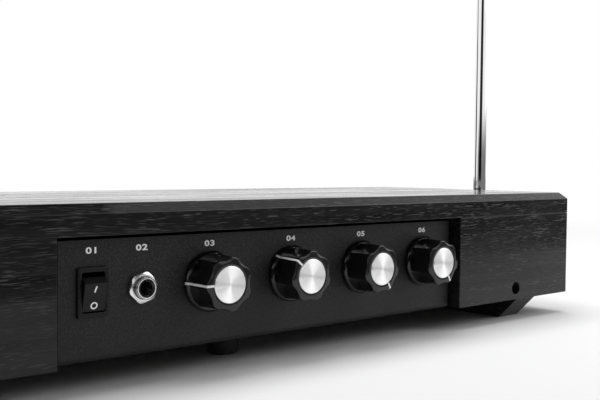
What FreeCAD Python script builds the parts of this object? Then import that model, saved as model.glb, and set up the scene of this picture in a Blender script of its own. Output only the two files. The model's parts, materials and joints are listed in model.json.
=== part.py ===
"""A theremin in a black wooden cabinet, in millimetres, +Z up, with its front towards -Y.

The origin is on the axis of the microphone-stand thread, at the plane of the thread's mouth.
"""
import FreeCAD
import Part
import Sketcher

import math
import os
import re

Vector = FreeCAD.Vector
Rotation = FreeCAD.Rotation

SIZES = {
    # wooden cabinet
    "cabinet_length": 470.0,
    "cabinet_depth": 165.0,
    "cabinet_height": 66.3,
    "top_thick": 13.4,
    "bevel_run": 4.0,
    "bevel_drop": 4.0,
    "opening_width": 248.0,
    "front_thick": 19.0,
    "end_thick": 12.7,
    "back_thick": 12.7,
    "bottom_thick": 13.4,
    "lip_width": 12.0,
    "runner_width": 19.5,
    "runner_height": 13.2,
    "runner_inset": 36.0,
    "back_window_width": 40.0,
    "back_window_height": 26.0,
    "back_window_rise": 28.0,
    "inlet_x": -70.0,
    # screws: the cross recess is given in shares of the head's radius and height
    "recess_reach": 1.2,
    "recess_width": 0.32,
    "recess_floor": 0.5,
    "wood_shank_radius": 2.0,
    "wood_head_radius": 3.2,
    "wood_head_height": 2.6,
    "wood_grip": 10.0,
    "sink_radius": 3.8,
    "sink_depth": 7.0,
    "front_screw_inset": 56.0,
    "front_screw_rise": 7.0,
    "runner_screw_y": 45.0,
    "runner_sink_depth": 5.0,
    "pilot_clearance": 0.05,
    # sheet-metal chassis
    "sheet_thick": 1.6,
    "bend_radius": 1.0,
    "panel_recess": 6.5,
    "panel_side_gap": 3.0,
    "panel_top_gap": 1.8,
    "rear_flange_height": 44.0,
    "rear_gap": 0.3,
    "chassis_screw_edge": 4.5,
    "chassis_screw_pitch": 50.0,
    "sheet_screw_radius": 1.75,
    "sheet_head_radius": 3.4,
    "sheet_head_height": 2.2,
    "sheet_grip": 8.0,
    "screw_hole_clearance": 0.15,
    # stand flange and rubber feet
    "stand_drop": 9.0,
    "stand_thread_radius": 7.43,
    "stand_boss_radius": 12.0,
    "stand_plate_radius": 26.0,
    "stand_plate_thick": 3.0,
    "stand_screw_circle": 19.0,
    "flange_screw_radius": 2.0,
    "flange_head_radius": 3.5,
    "flange_head_height": 2.6,
    "hole_clearance": 0.2,
    "cut_past": 1.0,
    "foot_x": -18.0,
    "foot_panel_inset": 31.5,
    "foot_rear_inset": 25.0,
    "foot_top_radius": 8.8,
    "foot_floor_radius": 8.0,
    "foot_stem_radius": 3.0,
    "foot_bulb_radius": 3.9,
    "foot_bulb_height": 3.0,
    # control panel
    "control_drop": 37.0,
    "switch_inset": 15.0,
    "jack_inset": 38.3,
    "first_knob_inset": 73.5,
    "last_knob_inset": 23.6,
    # potentiometers
    "shaft_radius": 3.0,
    "running_clearance": 0.05,
    "bushing_radius": 3.5,
    "bushing_out": 4.6,
    "pot_radius": 8.25,
    "pot_depth": 8.5,
    "pot_wall": 1.2,
    "wiper_radius": 6.6,
    "wiper_play": 0.3,
    "pot_nut_flats": 10.0,
    "pot_nut_height": 2.4,
    "lug_length": 5.0,
    "lug_width": 1.4,
    "lug_thick": 0.6,
    "lug_pitch": 5.0,
    # knobs
    "knob_gap": 0.9,
    "knob_height": 16.5,
    "skirt_radius": 14.0,
    "skirt_height": 2.4,
    "skirt_lip": 1.2,
    "grip_base_radius": 13.0,
    "grip_front_radius": 12.3,
    "flute_count": 7,
    "flute_radius": 12.0,
    "flute_depth": 1.2,
    "cap_radius": 8.4,
    "cap_thick": 1.0,
    "cap_proud": 0.2,
    "cap_clearance": 0.05,
    "knob_floor": 2.2,
    "press_clearance": 0.02,
    "nut_recess_radius": 6.4,
    "nut_recess_clearance": 0.6,
    # where each pointer stands at rest, in degrees clockwise from straight up
    "volume_rest": -90.0,
    "pitch_rest": -48.0,
    "waveform_rest": 150.0,
    "brightness_rest": 150.0,
    # rocker switch
    "bezel_width": 14.1,
    "bezel_height": 21.0,
    "bezel_thick": 1.7,
    "switch_width": 12.8,
    "switch_height": 19.2,
    "switch_depth": 15.0,
    "switch_wall": 1.2,
    "switch_end_wall": 0.6,
    "window_height": 16.9,
    "rocker_side_clearance": 0.2,
    "rocker_tilt": 14.0,
    "pivot_sink": 6.8,
    "pivot_radius": 1.6,
    "pivot_length": 0.9,
    "rocker_face_out": 8.0,
    "rocker_face_margin": 2.35,
    "rocker_waist_out": 5.0,
    "rocker_waist_margin": 0.65,
    "rocker_root_out": 0.5,
    "rocker_root_margin": 1.95,
    "rocker_keel": 1.5,
    "rocker_keel_half": 3.0,
    "blade_width": 4.8,
    "blade_thick": 0.8,
    "blade_length": 8.0,
    "blade_pitch": 7.0,
    # output jack
    "jack_bore_radius": 3.3,
    "jack_bushing_radius": 4.76,
    "jack_bushing_out": 4.6,
    "jack_nut_flats": 12.7,
    "jack_nut_height": 2.4,
    "jack_nut_turn": 15.0,
    "jack_body_width": 16.0,
    "jack_body_height": 18.0,
    "jack_body_depth": 25.0,
    "jack_bore_floor": 3.0,
    # circuit board
    "board_lip_gap": 9.0,
    "standoff_flange_gap": 4.0,
    "board_back_margin": 7.0,
    "board_thick": 1.6,
    "standoff_height": 8.0,
    "standoff_flats": 5.5,
    "board_screw_radius": 1.5,
    "board_screw_edge": 5.0,
    "board_head_radius": 2.7,
    "board_head_height": 1.8,
    "board_screw_grip": 4.5,
    "tap_past": 0.5,
    "choke_radius": 6.0,
    "choke_core_radius": 3.4,
    "choke_height": 13.0,
    "choke_flange": 1.5,
    "choke_pitch": 17.0,
    "choke_margin": 12.0,
    "choke_inlet_gap": 3.9,
    "can_width": 10.0,
    "can_height": 12.0,
    "can_pitch": 20.0,
    "can_slug_radius": 2.2,
    "can_slug_depth": 2.0,
    "chip_length": 19.3,
    "chip_width": 6.4,
    "chip_height": 3.6,
    "chip_pitch": 42.0,
    "chip_margin": 23.0,
    "capacitor_radius": 4.0,
    "capacitor_height": 11.5,
    "capacitor_pitch": 14.0,
    "regulator_width": 10.0,
    "regulator_body": 4.5,
    "regulator_height": 9.0,
    "regulator_tab": 1.3,
    "regulator_tab_height": 15.0,
    "regulator_inset": 18.0,
    "regulator_set_back": 2.0,
    "regulator_pitch": 16.0,
    # power inlet
    "inlet_bushing_radius": 5.5,
    "inlet_bushing_out": 7.0,
    "inlet_bore_radius": 2.9,
    "inlet_bore_depth": 10.0,
    "inlet_pin_radius": 1.0,
    "inlet_pin_sink": 1.0,
    "inlet_body_width": 14.0,
    "inlet_body_depth": 12.0,
    "inlet_nut_flats": 14.0,
    "inlet_nut_height": 2.5,
    # antennas and their fittings
    "tube_radius": 4.5,
    "tube_wall": 0.9,
    "tube_clearance": 0.05,
    "pitch_antenna_length": 450.0,
    "fitting_rise": 29.0,
    "pitch_fitting_y": 7.5,
    "antenna_stand_off": 22.0,
    "fitting_half": 7.5,
    "stub_radius": 6.6,
    "stub_clearance": 0.2,
    "stub_tail": 3.0,
    "locknut_flats": 19.0,
    "locknut_height": 5.0,
    "bore_radius": 3.0,
    "arm_radius": 6.25,
    "arm_length": 9.5,
    "arm_seat": 4.0,
    "union_flange": 6.0,
    "clamp_nut_flats": 17.5,
    "clamp_nut_start": 1.5,
    "clamp_nut_height": 14.0,
    "sleeve_height": 2.5,
    "sleeve_play": 0.1,
    "loop_start": 48.0,
    "loop_length": 200.0,
    "loop_width": 114.0,
    "loop_stem_bend": 20.0,
    "loop_near_bend": 36.0,
    "loop_far_bend": 45.0,
    "loop_end_gap": 14.0,
    # antenna leads
    "lead_radius": 1.1,
    "lead_bend": 6.0,
    "lead_board_inset": 8.0,
    "lead_y": 20.0,
    "lead_rise": 12.0,
    "lead_straight": 25.0,
}

doc = FreeCAD.newDocument("theremin")
sheet = doc.addObject("Spreadsheet::Sheet", "sizes")
for row, (alias, number) in enumerate(SIZES.items(), start=1):
    sheet.set(f"A{row}", alias)
    sheet.set(f"B{row}", str(number))
    sheet.setAlias(f"B{row}", alias)
doc.recompute()

# places that several pieces share, as formulas of the sizes
RIGHT = "cabinet_length / 2"
FRONT = "-cabinet_depth / 2"
BACK = "cabinet_depth / 2"
FLOOR = "stand_drop - runner_height"
BASE = "stand_drop"
TOP = "stand_drop + cabinet_height"
TOP_UNDERSIDE = f"{TOP} - top_thick"
OPENING = "opening_width / 2"
INNER_FRONT = f"{FRONT} + front_thick"
INNER_BACK = f"{BACK} - back_thick"
INNER_END = f"{RIGHT} - end_thick"
PANEL = f"{FRONT} + panel_recess"
PANEL_INSIDE = f"{PANEL} + sheet_thick"
REAR = f"{INNER_BACK} - rear_gap"
PLATE = "stand_drop + sheet_thick"
CHASSIS_HALF = f"{OPENING} - panel_side_gap"
CONTROL_LINE = f"{TOP} - control_drop"
BOARD = f"{PLATE} + standoff_height"
BOARD_TOP = f"{BOARD} + board_thick"
FITTING = "stand_drop + fitting_rise"
RUNNER_X = f"{RIGHT} - runner_inset - runner_width / 2"
INLET_Z = f"{BASE} + back_window_rise"
UNION_FACE = f"{RIGHT} + union_flange"
ANTENNA_X = f"{RIGHT} + antenna_stand_off"
ELBOW_TOP = f"{FITTING} + fitting_half"
SWITCH_X = f"switch_inset - ({CHASSIS_HALF})"
JACK_X = f"jack_inset - ({CHASSIS_HALF})"
FIRST_KNOB = f"first_knob_inset - ({CHASSIS_HALF})"
KNOB_PITCH = f"(2 * ({CHASSIS_HALF}) - first_knob_inset - last_knob_inset) / 3"
KNOB_CENTRES = [f"{FIRST_KNOB} + {index} * {KNOB_PITCH}" for index in range(4)]
CONTROLS = ["volume", "pitch", "waveform", "brightness"]
SIDES = {"left": -1, "right": 1}

FACING = {
    "+x": Rotation(Vector(0, 1, 0), 90),
    "-x": Rotation(Vector(0, 1, 0), -90),
    "+y": Rotation(Vector(1, 0, 0), -90),
    "-y": Rotation(Vector(1, 0, 0), 90),
    "+z": Rotation(),
    "-z": Rotation(Vector(1, 0, 0), 180),
}

nodes = {}


def formula(text):
    """Make an expression in which the name of each size reads its cell."""
    words = r"[a-z][a-z_]*"
    return re.sub(words, lambda word: f"sizes.{word[0]}" if word[0] in SIZES else word[0], str(text))


def size(alias):
    """Read a size's number from the sheet."""
    return float(sheet.get(alias))


def bind(piece, **properties):
    """Bind properties of a document object to formulas of the sizes."""
    for name, text in properties.items():
        piece.setExpression(name, formula(text))
    return piece


def settle(piece, x=0, y=0, z=0):
    """Bind a plain piece's own place to formulas."""
    for axis, text in (("x", x), ("y", y), ("z", z)):
        piece.setExpression(f"Placement.Base.{axis}", formula(text))
    return piece


def place(piece, x=0, y=0, z=0, facing="+z"):
    """Carry a piece, as it was made, to a place, with its own Z axis turned to face one way."""
    carried = doc.addObject("Part::Compound", "carried")
    carried.Links = [piece]
    carried.Placement = FreeCAD.Placement(Vector(), FACING[facing])
    return settle(carried, x, y, z)


def turned(piece, axis, degrees):
    """Carry a piece, as it was made, turned about an axis through the origin."""
    carried = doc.addObject("Part::Compound", "turned")
    carried.Links = [piece]
    carried.Placement = FreeCAD.Placement(Vector(), Rotation(axis, 1))
    carried.setExpression("Placement.Rotation.Angle", formula(degrees))
    return carried


def block(x, y, z):
    """Make a block from three (low, high) pairs of formulas."""
    piece = doc.addObject("Part::Box", "block")
    spans = [f"({high}) - ({low})" for low, high in (x, y, z)]
    bind(piece, Length=spans[0], Width=spans[1], Height=spans[2])
    return settle(piece, x[0], y[0], z[0])


def cylinder(radius, start, end):
    """Make a cylinder on the Z axis between two heights."""
    piece = bind(doc.addObject("Part::Cylinder", "cylinder"), Radius=radius, Height=f"({end}) - ({start})")
    return settle(piece, z=start)


def cone(start_radius, end_radius, start, end):
    """Make a cone on the Z axis between two heights."""
    piece = doc.addObject("Part::Cone", "cone")
    bind(piece, Radius1=start_radius, Radius2=end_radius, Height=f"({end}) - ({start})")
    return settle(piece, z=start)


def hexagon(flats, start, end):
    """Make a hexagonal prism on the Z axis from its size across flats."""
    piece = doc.addObject("Part::Prism", "hexagon")
    piece.Polygon = 6
    bind(piece, Circumradius=f"({flats}) / sqrt(3)", Height=f"({end}) - ({start})")
    return settle(piece, z=start)


def join(*pieces):
    """Fuse pieces into one."""
    joined = doc.addObject("Part::MultiFuse", "joined")
    joined.Shapes = list(pieces)
    joined.Refine = True
    return joined


def carve(base, *tools):
    """Cut tools out of a piece."""
    carved = doc.addObject("Part::Cut", "carved")
    carved.Base = base
    carved.Tool = tools[0] if len(tools) == 1 else join(*tools)
    carved.Refine = True
    return carved


def group(*pieces):
    """Put separate solids together as one node."""
    together = doc.addObject("Part::Compound", "together")
    together.Links = list(pieces)
    return together


def node(label, piece):
    """Name a finished sub-part."""
    piece.Label = label
    nodes[label] = piece
    return piece


def centred(width):
    """Make the (low, high) pair of a span that is centred on zero."""
    return (f"-({width}) / 2", f"({width}) / 2")


def mirrored(side, near, far):
    """Make the (low, high) pair of a span that is mirrored to the left or right of the middle."""
    return (near, far) if side > 0 else (f"-({far})", f"-({near})")


def outline(body, role, corners):
    """Sketch a closed outline on a plane of the body, each corner's place bound to formulas."""
    sketch = body.newObject("Sketcher::SketchObject", "outline")
    plane = next(feature for feature in body.Origin.OriginFeatures if feature.Role == role)
    sketch.AttachmentSupport = [(plane, "")]
    sketch.MapMode = "FlatFace"
    count = len(corners)
    turns = [2 * math.pi * index / count for index in range(count)]
    starts = [Vector(math.cos(turn), math.sin(turn), 0) for turn in turns]
    for index in range(count):
        sketch.addGeometry(Part.LineSegment(starts[index], starts[(index + 1) % count]), False)
    for index in range(count):
        sketch.addConstraint(Sketcher.Constraint("Coincident", index, 2, (index + 1) % count, 1))
    for index, (across, up) in enumerate(corners):
        for kind, text, start in (("DistanceX", across, starts[index].x), ("DistanceY", up, starts[index].y)):
            number = sketch.addConstraint(Sketcher.Constraint(kind, -1, 1, index, 1, start))
            sketch.setExpression(f"Constraints[{number}]", formula(text))
    return sketch


def padded_body(corners, width):
    """Pad an outline, drawn in the YZ plane, evenly to both sides of that plane."""
    body = doc.addObject("PartDesign::Body", "body")
    pad = body.newObject("PartDesign::Pad", "pad")
    pad.Profile = outline(body, "YZ_Plane", corners)
    pad.SideType = "Symmetric"
    pad.setExpression("Length", formula(width))
    body.Tip = pad
    return body


def turned_body(corners):
    """Turn an outline, drawn in the XZ plane, about the Z axis."""
    body = doc.addObject("PartDesign::Body", "body")
    turned = body.newObject("PartDesign::Revolution", "turned")
    turned.Profile = outline(body, "XZ_Plane", corners)
    turned.ReferenceAxis = (turned.Profile[0], ["V_Axis"])
    turned.Angle = 360
    body.Tip = turned
    return body


def screw(head_radius, head_height, shank_radius, length):
    """Make a screw along +Z with its head seated at z = 0 and a cross recess in the head."""
    head = cylinder(head_radius, f"-({head_height})", 0)
    reach = centred(f"({head_radius}) * recess_reach")
    width = centred(f"({head_radius}) * recess_width")
    depth = (f"-({head_height})", f"-({head_height}) * recess_floor")
    long_slot = block(reach, width, depth)
    cross_slot = block(width, reach, depth)
    return carve(join(head, cylinder(shank_radius, 0, length)), long_slot, cross_slot)


# --- wooden cabinet ---------------------------------------------------------------------------

slab = block((f"-{RIGHT}", RIGHT), (FRONT, BACK), (TOP_UNDERSIDE, f"{TOP} - bevel_drop"))
crown = doc.addObject("Part::Wedge", "crown")
bind(
    crown,
    Xmin=f"-{RIGHT}", Xmax=RIGHT, X2min=f"-{RIGHT} + bevel_run", X2max=f"{RIGHT} - bevel_run",
    Zmin=FRONT, Zmax=BACK, Z2min=f"{FRONT} + bevel_run", Z2max=f"{BACK} - bevel_run",
    Ymin="0", Ymax="bevel_drop",
)
node("top_board", join(slab, place(crown, z=f"{TOP} - bevel_drop", facing="-y")))

PILOT = "wood_shank_radius + pilot_clearance"
FRONT_SCREW_SEAT = f"{FRONT} + sink_depth"
FRONT_SCREW_LENGTH = "front_thick - sink_depth + wood_grip"
RUNNER_SCREW_LENGTH = "runner_height - runner_sink_depth + wood_grip"
wood_screws = []

for name, side in SIDES.items():
    front = block(mirrored(side, OPENING, RIGHT), (FRONT, INNER_FRONT), (BASE, TOP_UNDERSIDE))
    screw_x = f"{side} * ({RIGHT} - front_screw_inset)"
    screw_z = f"{BASE} + front_screw_rise"
    sink = place(cylinder("sink_radius", 0, "sink_depth"), screw_x, FRONT, screw_z, "+y")
    through = place(cylinder(PILOT, 0, "front_thick"), screw_x, FRONT, screw_z, "+y")
    node(f"front_block_{name}", carve(front, sink, through))

    end = block(mirrored(side, INNER_END, RIGHT), (INNER_FRONT, INNER_BACK), (BASE, TOP_UNDERSIDE))
    fitting_y = "pitch_fitting_y" if side > 0 else "0"
    fitting_hole = cylinder("stub_radius + stub_clearance", "-end_thick", "end_thick")
    fitting_hole = place(fitting_hole, f"{side} * ({RIGHT})", fitting_y, FITTING, "+x")
    node(f"end_board_{name}", carve(end, fitting_hole))

    lip_edge = f"{OPENING} - lip_width"
    depth = (INNER_FRONT, INNER_BACK)
    board = block(mirrored(side, lip_edge, INNER_END), depth, (BASE, f"{BASE} + bottom_thick"))
    rebate = block(mirrored(side, lip_edge, OPENING), depth, (BASE, PLATE))
    pilots = [place(cylinder(PILOT, 0, "wood_grip + pilot_clearance"), screw_x, INNER_FRONT, screw_z, "+y")]
    runner_x = f"{side} * ({RUNNER_X})"
    runner_holes = []
    for end_sign in (-1, 1):
        y = f"{end_sign} * runner_screw_y"
        pilots.append(place(cylinder(PILOT, 0, "wood_grip + pilot_clearance"), runner_x, y, BASE))
        sunk = cylinder("wood_head_radius + pilot_clearance", 0, "runner_sink_depth")
        runner_holes.append(place(sunk, runner_x, y, FLOOR))
        runner_holes.append(place(cylinder(PILOT, 0, "runner_height"), runner_x, y, FLOOR))
        runner_screw = screw("wood_head_radius", "wood_head_height", "wood_shank_radius", RUNNER_SCREW_LENGTH)
        wood_screws.append(place(runner_screw, runner_x, y, f"{FLOOR} + runner_sink_depth"))
    lip_x = f"{side} * ({CHASSIS_HALF} - chassis_screw_edge)"
    for index in (-1, 0, 1):
        y = f"{index} * chassis_screw_pitch"
        lip_pilot = cylinder("sheet_screw_radius + pilot_clearance", 0, "sheet_grip + pilot_clearance")
        pilots.append(place(lip_pilot, lip_x, y, PLATE))
    node(f"bottom_board_{name}", carve(board, rebate, *pilots))

    runner = padded_body(
        [
            (FRONT, BASE),
            (BACK, BASE),
            (f"{BACK} - runner_height", FLOOR),
            (f"{FRONT} + runner_height", FLOOR),
        ],
        "runner_width",
    )
    node(f"runner_{name}", carve(place(runner, runner_x), *runner_holes))
    front_screw = screw("wood_head_radius", "wood_head_height", "wood_shank_radius", FRONT_SCREW_LENGTH)
    wood_screws.append(place(front_screw, screw_x, FRONT_SCREW_SEAT, screw_z, "+y"))

node("wood_screws", group(*wood_screws))

back = block((f"-{RIGHT}", RIGHT), (INNER_BACK, BACK), (BASE, TOP_UNDERSIDE))
back_window = block(
    centred("back_window_width"), centred("back_window_height"), ("-back_thick - cut_past", "cut_past")
)
node("back_board", carve(back, place(back_window, "inlet_x", BACK, INLET_Z, "+y")))

# --- sheet-metal chassis: front panel, bottom plate and rear flange bent from one sheet ---------

PANEL_TOP = f"{TOP_UNDERSIDE} - panel_top_gap"
FLANGE_TOP = f"{BASE} + rear_flange_height"
chassis_body = padded_body(
    [
        (PANEL, BASE),
        (REAR, BASE),
        (REAR, FLANGE_TOP),
        (f"{REAR} - sheet_thick", FLANGE_TOP),
        (f"{REAR} - sheet_thick", PLATE),
        (PANEL_INSIDE, PLATE),
        (PANEL_INSIDE, PANEL_TOP),
        (PANEL, PANEL_TOP),
    ],
    f"2 * ({CHASSIS_HALF})",
)
doc.recompute()


def edges_along_x(shape, z):
    """Name the edges of a shape that run along X at a height."""
    names = []
    for number, edge in enumerate(shape.Edges, start=1):
        box = edge.BoundBox
        if box.XLength > 1 and box.YLength < 0.01 and box.ZLength < 0.01 and abs(box.Center.z - z) < 0.01:
            names.append(f"Edge{number}")
    return names


plate_bottom = size("stand_drop")
plate_top = plate_bottom + size("sheet_thick")
for height, radius in ((plate_bottom, "bend_radius + sheet_thick"), (plate_top, "bend_radius")):
    previous = chassis_body.Tip
    bend = chassis_body.newObject("PartDesign::Fillet", "bend")
    bend.Base = (previous, edges_along_x(previous.Shape, height))
    bend.setExpression("Radius", formula(radius))
    chassis_body.Tip = bend
    doc.recompute()


def cross_hole(radius, x, y, facing="+z", z=BASE):
    """Make the tool for a round hole right through the sheet."""
    return place(cylinder(radius, "-cut_past", "sheet_thick + cut_past"), x, y, z, facing)


STAND_SCREW = "stand_screw_circle / sqrt(2)"
FOOT_PLACES = {"front": f"{PANEL} + foot_panel_inset", "back": f"{REAR} - foot_rear_inset"}
CORNERS = [(-1, -1), (1, -1), (1, 1), (-1, 1)]

chassis_holes = [
    cross_hole("bushing_radius + hole_clearance / 2", centre, PANEL_INSIDE, "-y", CONTROL_LINE)
    for centre in KNOB_CENTRES
]
chassis_holes.append(
    cross_hole("jack_bushing_radius + hole_clearance / 2", JACK_X, PANEL_INSIDE, "-y", CONTROL_LINE)
)
switch_cut = block(
    centred("switch_width + hole_clearance"),
    centred("switch_height + hole_clearance"),
    ("-cut_past", "sheet_thick + cut_past"),
)
chassis_holes.append(place(switch_cut, SWITCH_X, PANEL_INSIDE, CONTROL_LINE, "-y"))
chassis_holes.append(
    cross_hole("inlet_bushing_radius + hole_clearance / 2", "inlet_x", f"{REAR} - sheet_thick", "+y", INLET_Z)
)
chassis_holes.append(cross_hole("stand_boss_radius + hole_clearance", 0, 0))
for x_sign, y_sign in CORNERS:
    x = f"{x_sign} * {STAND_SCREW}"
    y = f"{y_sign} * {STAND_SCREW}"
    chassis_holes.append(cross_hole("flange_screw_radius + screw_hole_clearance", x, y))
for foot_y in FOOT_PLACES.values():
    chassis_holes.append(cross_hole("foot_stem_radius + hole_clearance / 2", "foot_x", foot_y))

chassis_screws = []
for side in SIDES.values():
    for index in (-1, 0, 1):
        x = f"{side} * ({CHASSIS_HALF} - chassis_screw_edge)"
        y = f"{index} * chassis_screw_pitch"
        chassis_holes.append(cross_hole("sheet_screw_radius + screw_hole_clearance", x, y))
        sheet_screw = screw(
            "sheet_head_radius", "sheet_head_height", "sheet_screw_radius", "sheet_thick + sheet_grip"
        )
        chassis_screws.append(place(sheet_screw, x, y, BASE))
for side in SIDES.values():
    notch = block(
        mirrored(side, f"{OPENING} - lip_width - hole_clearance", RIGHT),
        (f"{REAR} - sheet_thick - bend_radius", f"{REAR} + cut_past"),
        (PLATE, f"{FLANGE_TOP} + cut_past"),
    )
    chassis_holes.append(notch)
node("chassis", carve(chassis_body, *chassis_holes))
node("chassis_screws", group(*chassis_screws))

# --- stand flange and rubber feet ---------------------------------------------------------------

FLANGE_TOP_FACE = f"{PLATE} + stand_plate_thick"
flange_holes = [cylinder("stand_thread_radius", "-cut_past", f"{FLANGE_TOP_FACE} + cut_past")]
flange_screws = []
for x_sign, y_sign in CORNERS:
    x = f"{x_sign} * {STAND_SCREW}"
    y = f"{y_sign} * {STAND_SCREW}"
    tapped = cylinder("flange_screw_radius + running_clearance", "0", "stand_plate_thick")
    flange_holes.append(place(tapped, x, y, PLATE))
    flange_screw = screw(
        "flange_head_radius", "flange_head_height", "flange_screw_radius", "sheet_thick + stand_plate_thick"
    )
    flange_screws.append(place(flange_screw, x, y, BASE))
flange_plate = cylinder("stand_plate_radius", PLATE, FLANGE_TOP_FACE)
flange_boss = cylinder("stand_boss_radius", "0", FLANGE_TOP_FACE)
node("stand_flange", carve(join(flange_plate, flange_boss), *flange_holes))
node("flange_screws", group(*flange_screws))

for name, foot_y in FOOT_PLACES.items():
    foot = join(
        cone("foot_floor_radius", "foot_top_radius", FLOOR, BASE),
        cylinder("foot_stem_radius", BASE, PLATE),
        cone("foot_bulb_radius", "foot_stem_radius", PLATE, f"{PLATE} + foot_bulb_height"),
    )
    node(f"rubber_foot_{name}", place(foot, "foot_x", foot_y))

# --- the four controls: potentiometer, shaft, knob and aluminium cap -------------------------------

CAP_SEAT = "knob_height - cap_thick + cap_proud"
KNOB_BORE_TOP = f"{CAP_SEAT} - knob_floor"
NUT_RECESS_TOP = "bushing_out + nut_recess_clearance"
GRIP_START = "knob_gap + skirt_height"
CAVITY_BACK = "-pot_depth + pot_wall"


def potentiometer():
    """Make a potentiometer with its axis on Z and its seat against the panel at z = 0."""
    shell = join(
        cylinder("pot_radius", "-pot_depth", 0),
        cylinder("bushing_radius", 0, "sheet_thick + bushing_out"),
    )
    cavity = cylinder("pot_radius - pot_wall", CAVITY_BACK, "-pot_wall")
    bore = cylinder("shaft_radius + running_clearance", CAVITY_BACK, "sheet_thick + bushing_out + cut_past")
    lugs = [
        block(
            (f"{index} * lug_pitch - lug_width / 2", f"{index} * lug_pitch + lug_width / 2"),
            ("-pot_radius - lug_length", "-pot_radius / 2"),
            ("-pot_depth", "-pot_depth + lug_thick"),
        )
        for index in (-1, 0, 1)
    ]
    return join(carve(shell, cavity, bore), *lugs)


def pot_shaft():
    """Make the turning shaft with its wiper carrier, on the potentiometer's own axis."""
    wiper_start = f"{CAVITY_BACK} + wiper_play"
    wiper = cylinder("wiper_radius", wiper_start, "-pot_wall - wiper_play")
    shaft = cylinder("shaft_radius", wiper_start, f"sheet_thick + {KNOB_BORE_TOP} - running_clearance")
    return join(wiper, shaft)


def knob():
    """Turn a skirted knob from its profile, then mill its flutes as a pattern round the axis."""
    body = turned_body(
        [
            ("nut_recess_radius", "knob_gap"),
            ("skirt_radius", "knob_gap"),
            ("skirt_radius", "knob_gap + skirt_lip"),
            ("grip_base_radius", GRIP_START),
            ("grip_front_radius", "knob_height"),
            ("cap_radius + cap_clearance", "knob_height"),
            ("cap_radius + cap_clearance", CAP_SEAT),
            ("0", CAP_SEAT),
            ("0", KNOB_BORE_TOP),
            ("shaft_radius + press_clearance", KNOB_BORE_TOP),
            ("shaft_radius + press_clearance", NUT_RECESS_TOP),
            ("nut_recess_radius", NUT_RECESS_TOP),
        ]
    )
    circle = body.newObject("Sketcher::SketchObject", "flute")
    plane = next(feature for feature in body.Origin.OriginFeatures if feature.Role == "XY_Plane")
    circle.AttachmentSupport = [(plane, "")]
    circle.MapMode = "FlatFace"
    circle.setExpression("AttachmentOffset.Base.z", formula(GRIP_START))
    axis_distance = size("grip_front_radius") + size("flute_radius")
    start = Part.Circle(Vector(0, -axis_distance, 0), Vector(0, 0, 1), size("flute_radius"))
    circle.addGeometry(start, False)
    circle.addConstraint(Sketcher.Constraint("PointOnObject", 0, 3, -2))
    number = circle.addConstraint(Sketcher.Constraint("Radius", 0, size("flute_radius")))
    circle.setExpression(f"Constraints[{number}]", formula("flute_radius"))
    number = circle.addConstraint(Sketcher.Constraint("DistanceY", 0, 3, -1, 1, axis_distance))
    circle.setExpression(f"Constraints[{number}]", formula("grip_front_radius + flute_radius - flute_depth"))
    flute = body.newObject("PartDesign::Pocket", "flute")
    flute.Profile = circle
    flute.Reversed = True
    flute.setExpression("Length", formula("knob_height"))
    body.Tip = flute
    pattern = body.newObject("PartDesign::PolarPattern", "flutes")
    pattern.Originals = [flute]
    pattern.Axis = (circle, ["N_Axis"])
    pattern.Angle = 360
    pattern.setExpression("Occurrences", formula("flute_count"))
    body.Tip = pattern
    return body


pot_nuts = []
for name, centre in zip(CONTROLS, KNOB_CENTRES):
    node(f"{name}_pot", place(potentiometer(), centre, PANEL_INSIDE, CONTROL_LINE, "-y"))
    node(f"{name}_shaft", place(pot_shaft(), centre, PANEL_INSIDE, CONTROL_LINE, "-y"))
    turned_knob = turned(knob(), Vector(0, 0, 1), f"-{name}_rest")
    node(f"{name}_knob", place(turned_knob, centre, PANEL, CONTROL_LINE, "-y"))
    cap = cylinder("cap_radius", CAP_SEAT, "knob_height + cap_proud")
    node(f"{name}_cap", place(cap, centre, PANEL, CONTROL_LINE, "-y"))
    nut = carve(
        hexagon("pot_nut_flats", 0, "pot_nut_height"),
        cylinder("bushing_radius + running_clearance", 0, "pot_nut_height"),
    )
    pot_nuts.append(place(nut, centre, PANEL, CONTROL_LINE, "-y"))
node("pot_nuts", group(*pot_nuts))

# --- rocker switch: housing with bezel, rocker on its pivot, and blade terminals --------------------

INNER_HALF = "switch_width / 2 - switch_wall"
ROCKER_HALF = f"{INNER_HALF} - rocker_side_clearance"
CAVITY_HALF = "switch_height / 2 - switch_end_wall"
PIVOT_RISE = "bezel_thick - pivot_sink"

INNER_SPAN = (f"-({INNER_HALF})", INNER_HALF)
bezel = block(centred("bezel_width"), centred("bezel_height"), ("0", "bezel_thick"))
housing = block(centred("switch_width"), centred("switch_height"), ("-switch_depth", "0"))
window = block(INNER_SPAN, centred("window_height"), ("-cut_past", "bezel_thick + cut_past"))
well = block(INNER_SPAN, (f"-({CAVITY_HALF})", CAVITY_HALF), ("-switch_depth + switch_wall", "0"))
pivot_reach = f"{INNER_HALF} + pivot_length"
pivot_hole = place(
    cylinder("pivot_radius + running_clearance", f"-({pivot_reach})", pivot_reach), z=PIVOT_RISE, facing="+x"
)
switch_body = carve(join(bezel, housing), window, well, pivot_hole)
node("power_switch_body", place(switch_body, SWITCH_X, PANEL, CONTROL_LINE, "-y"))

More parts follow.
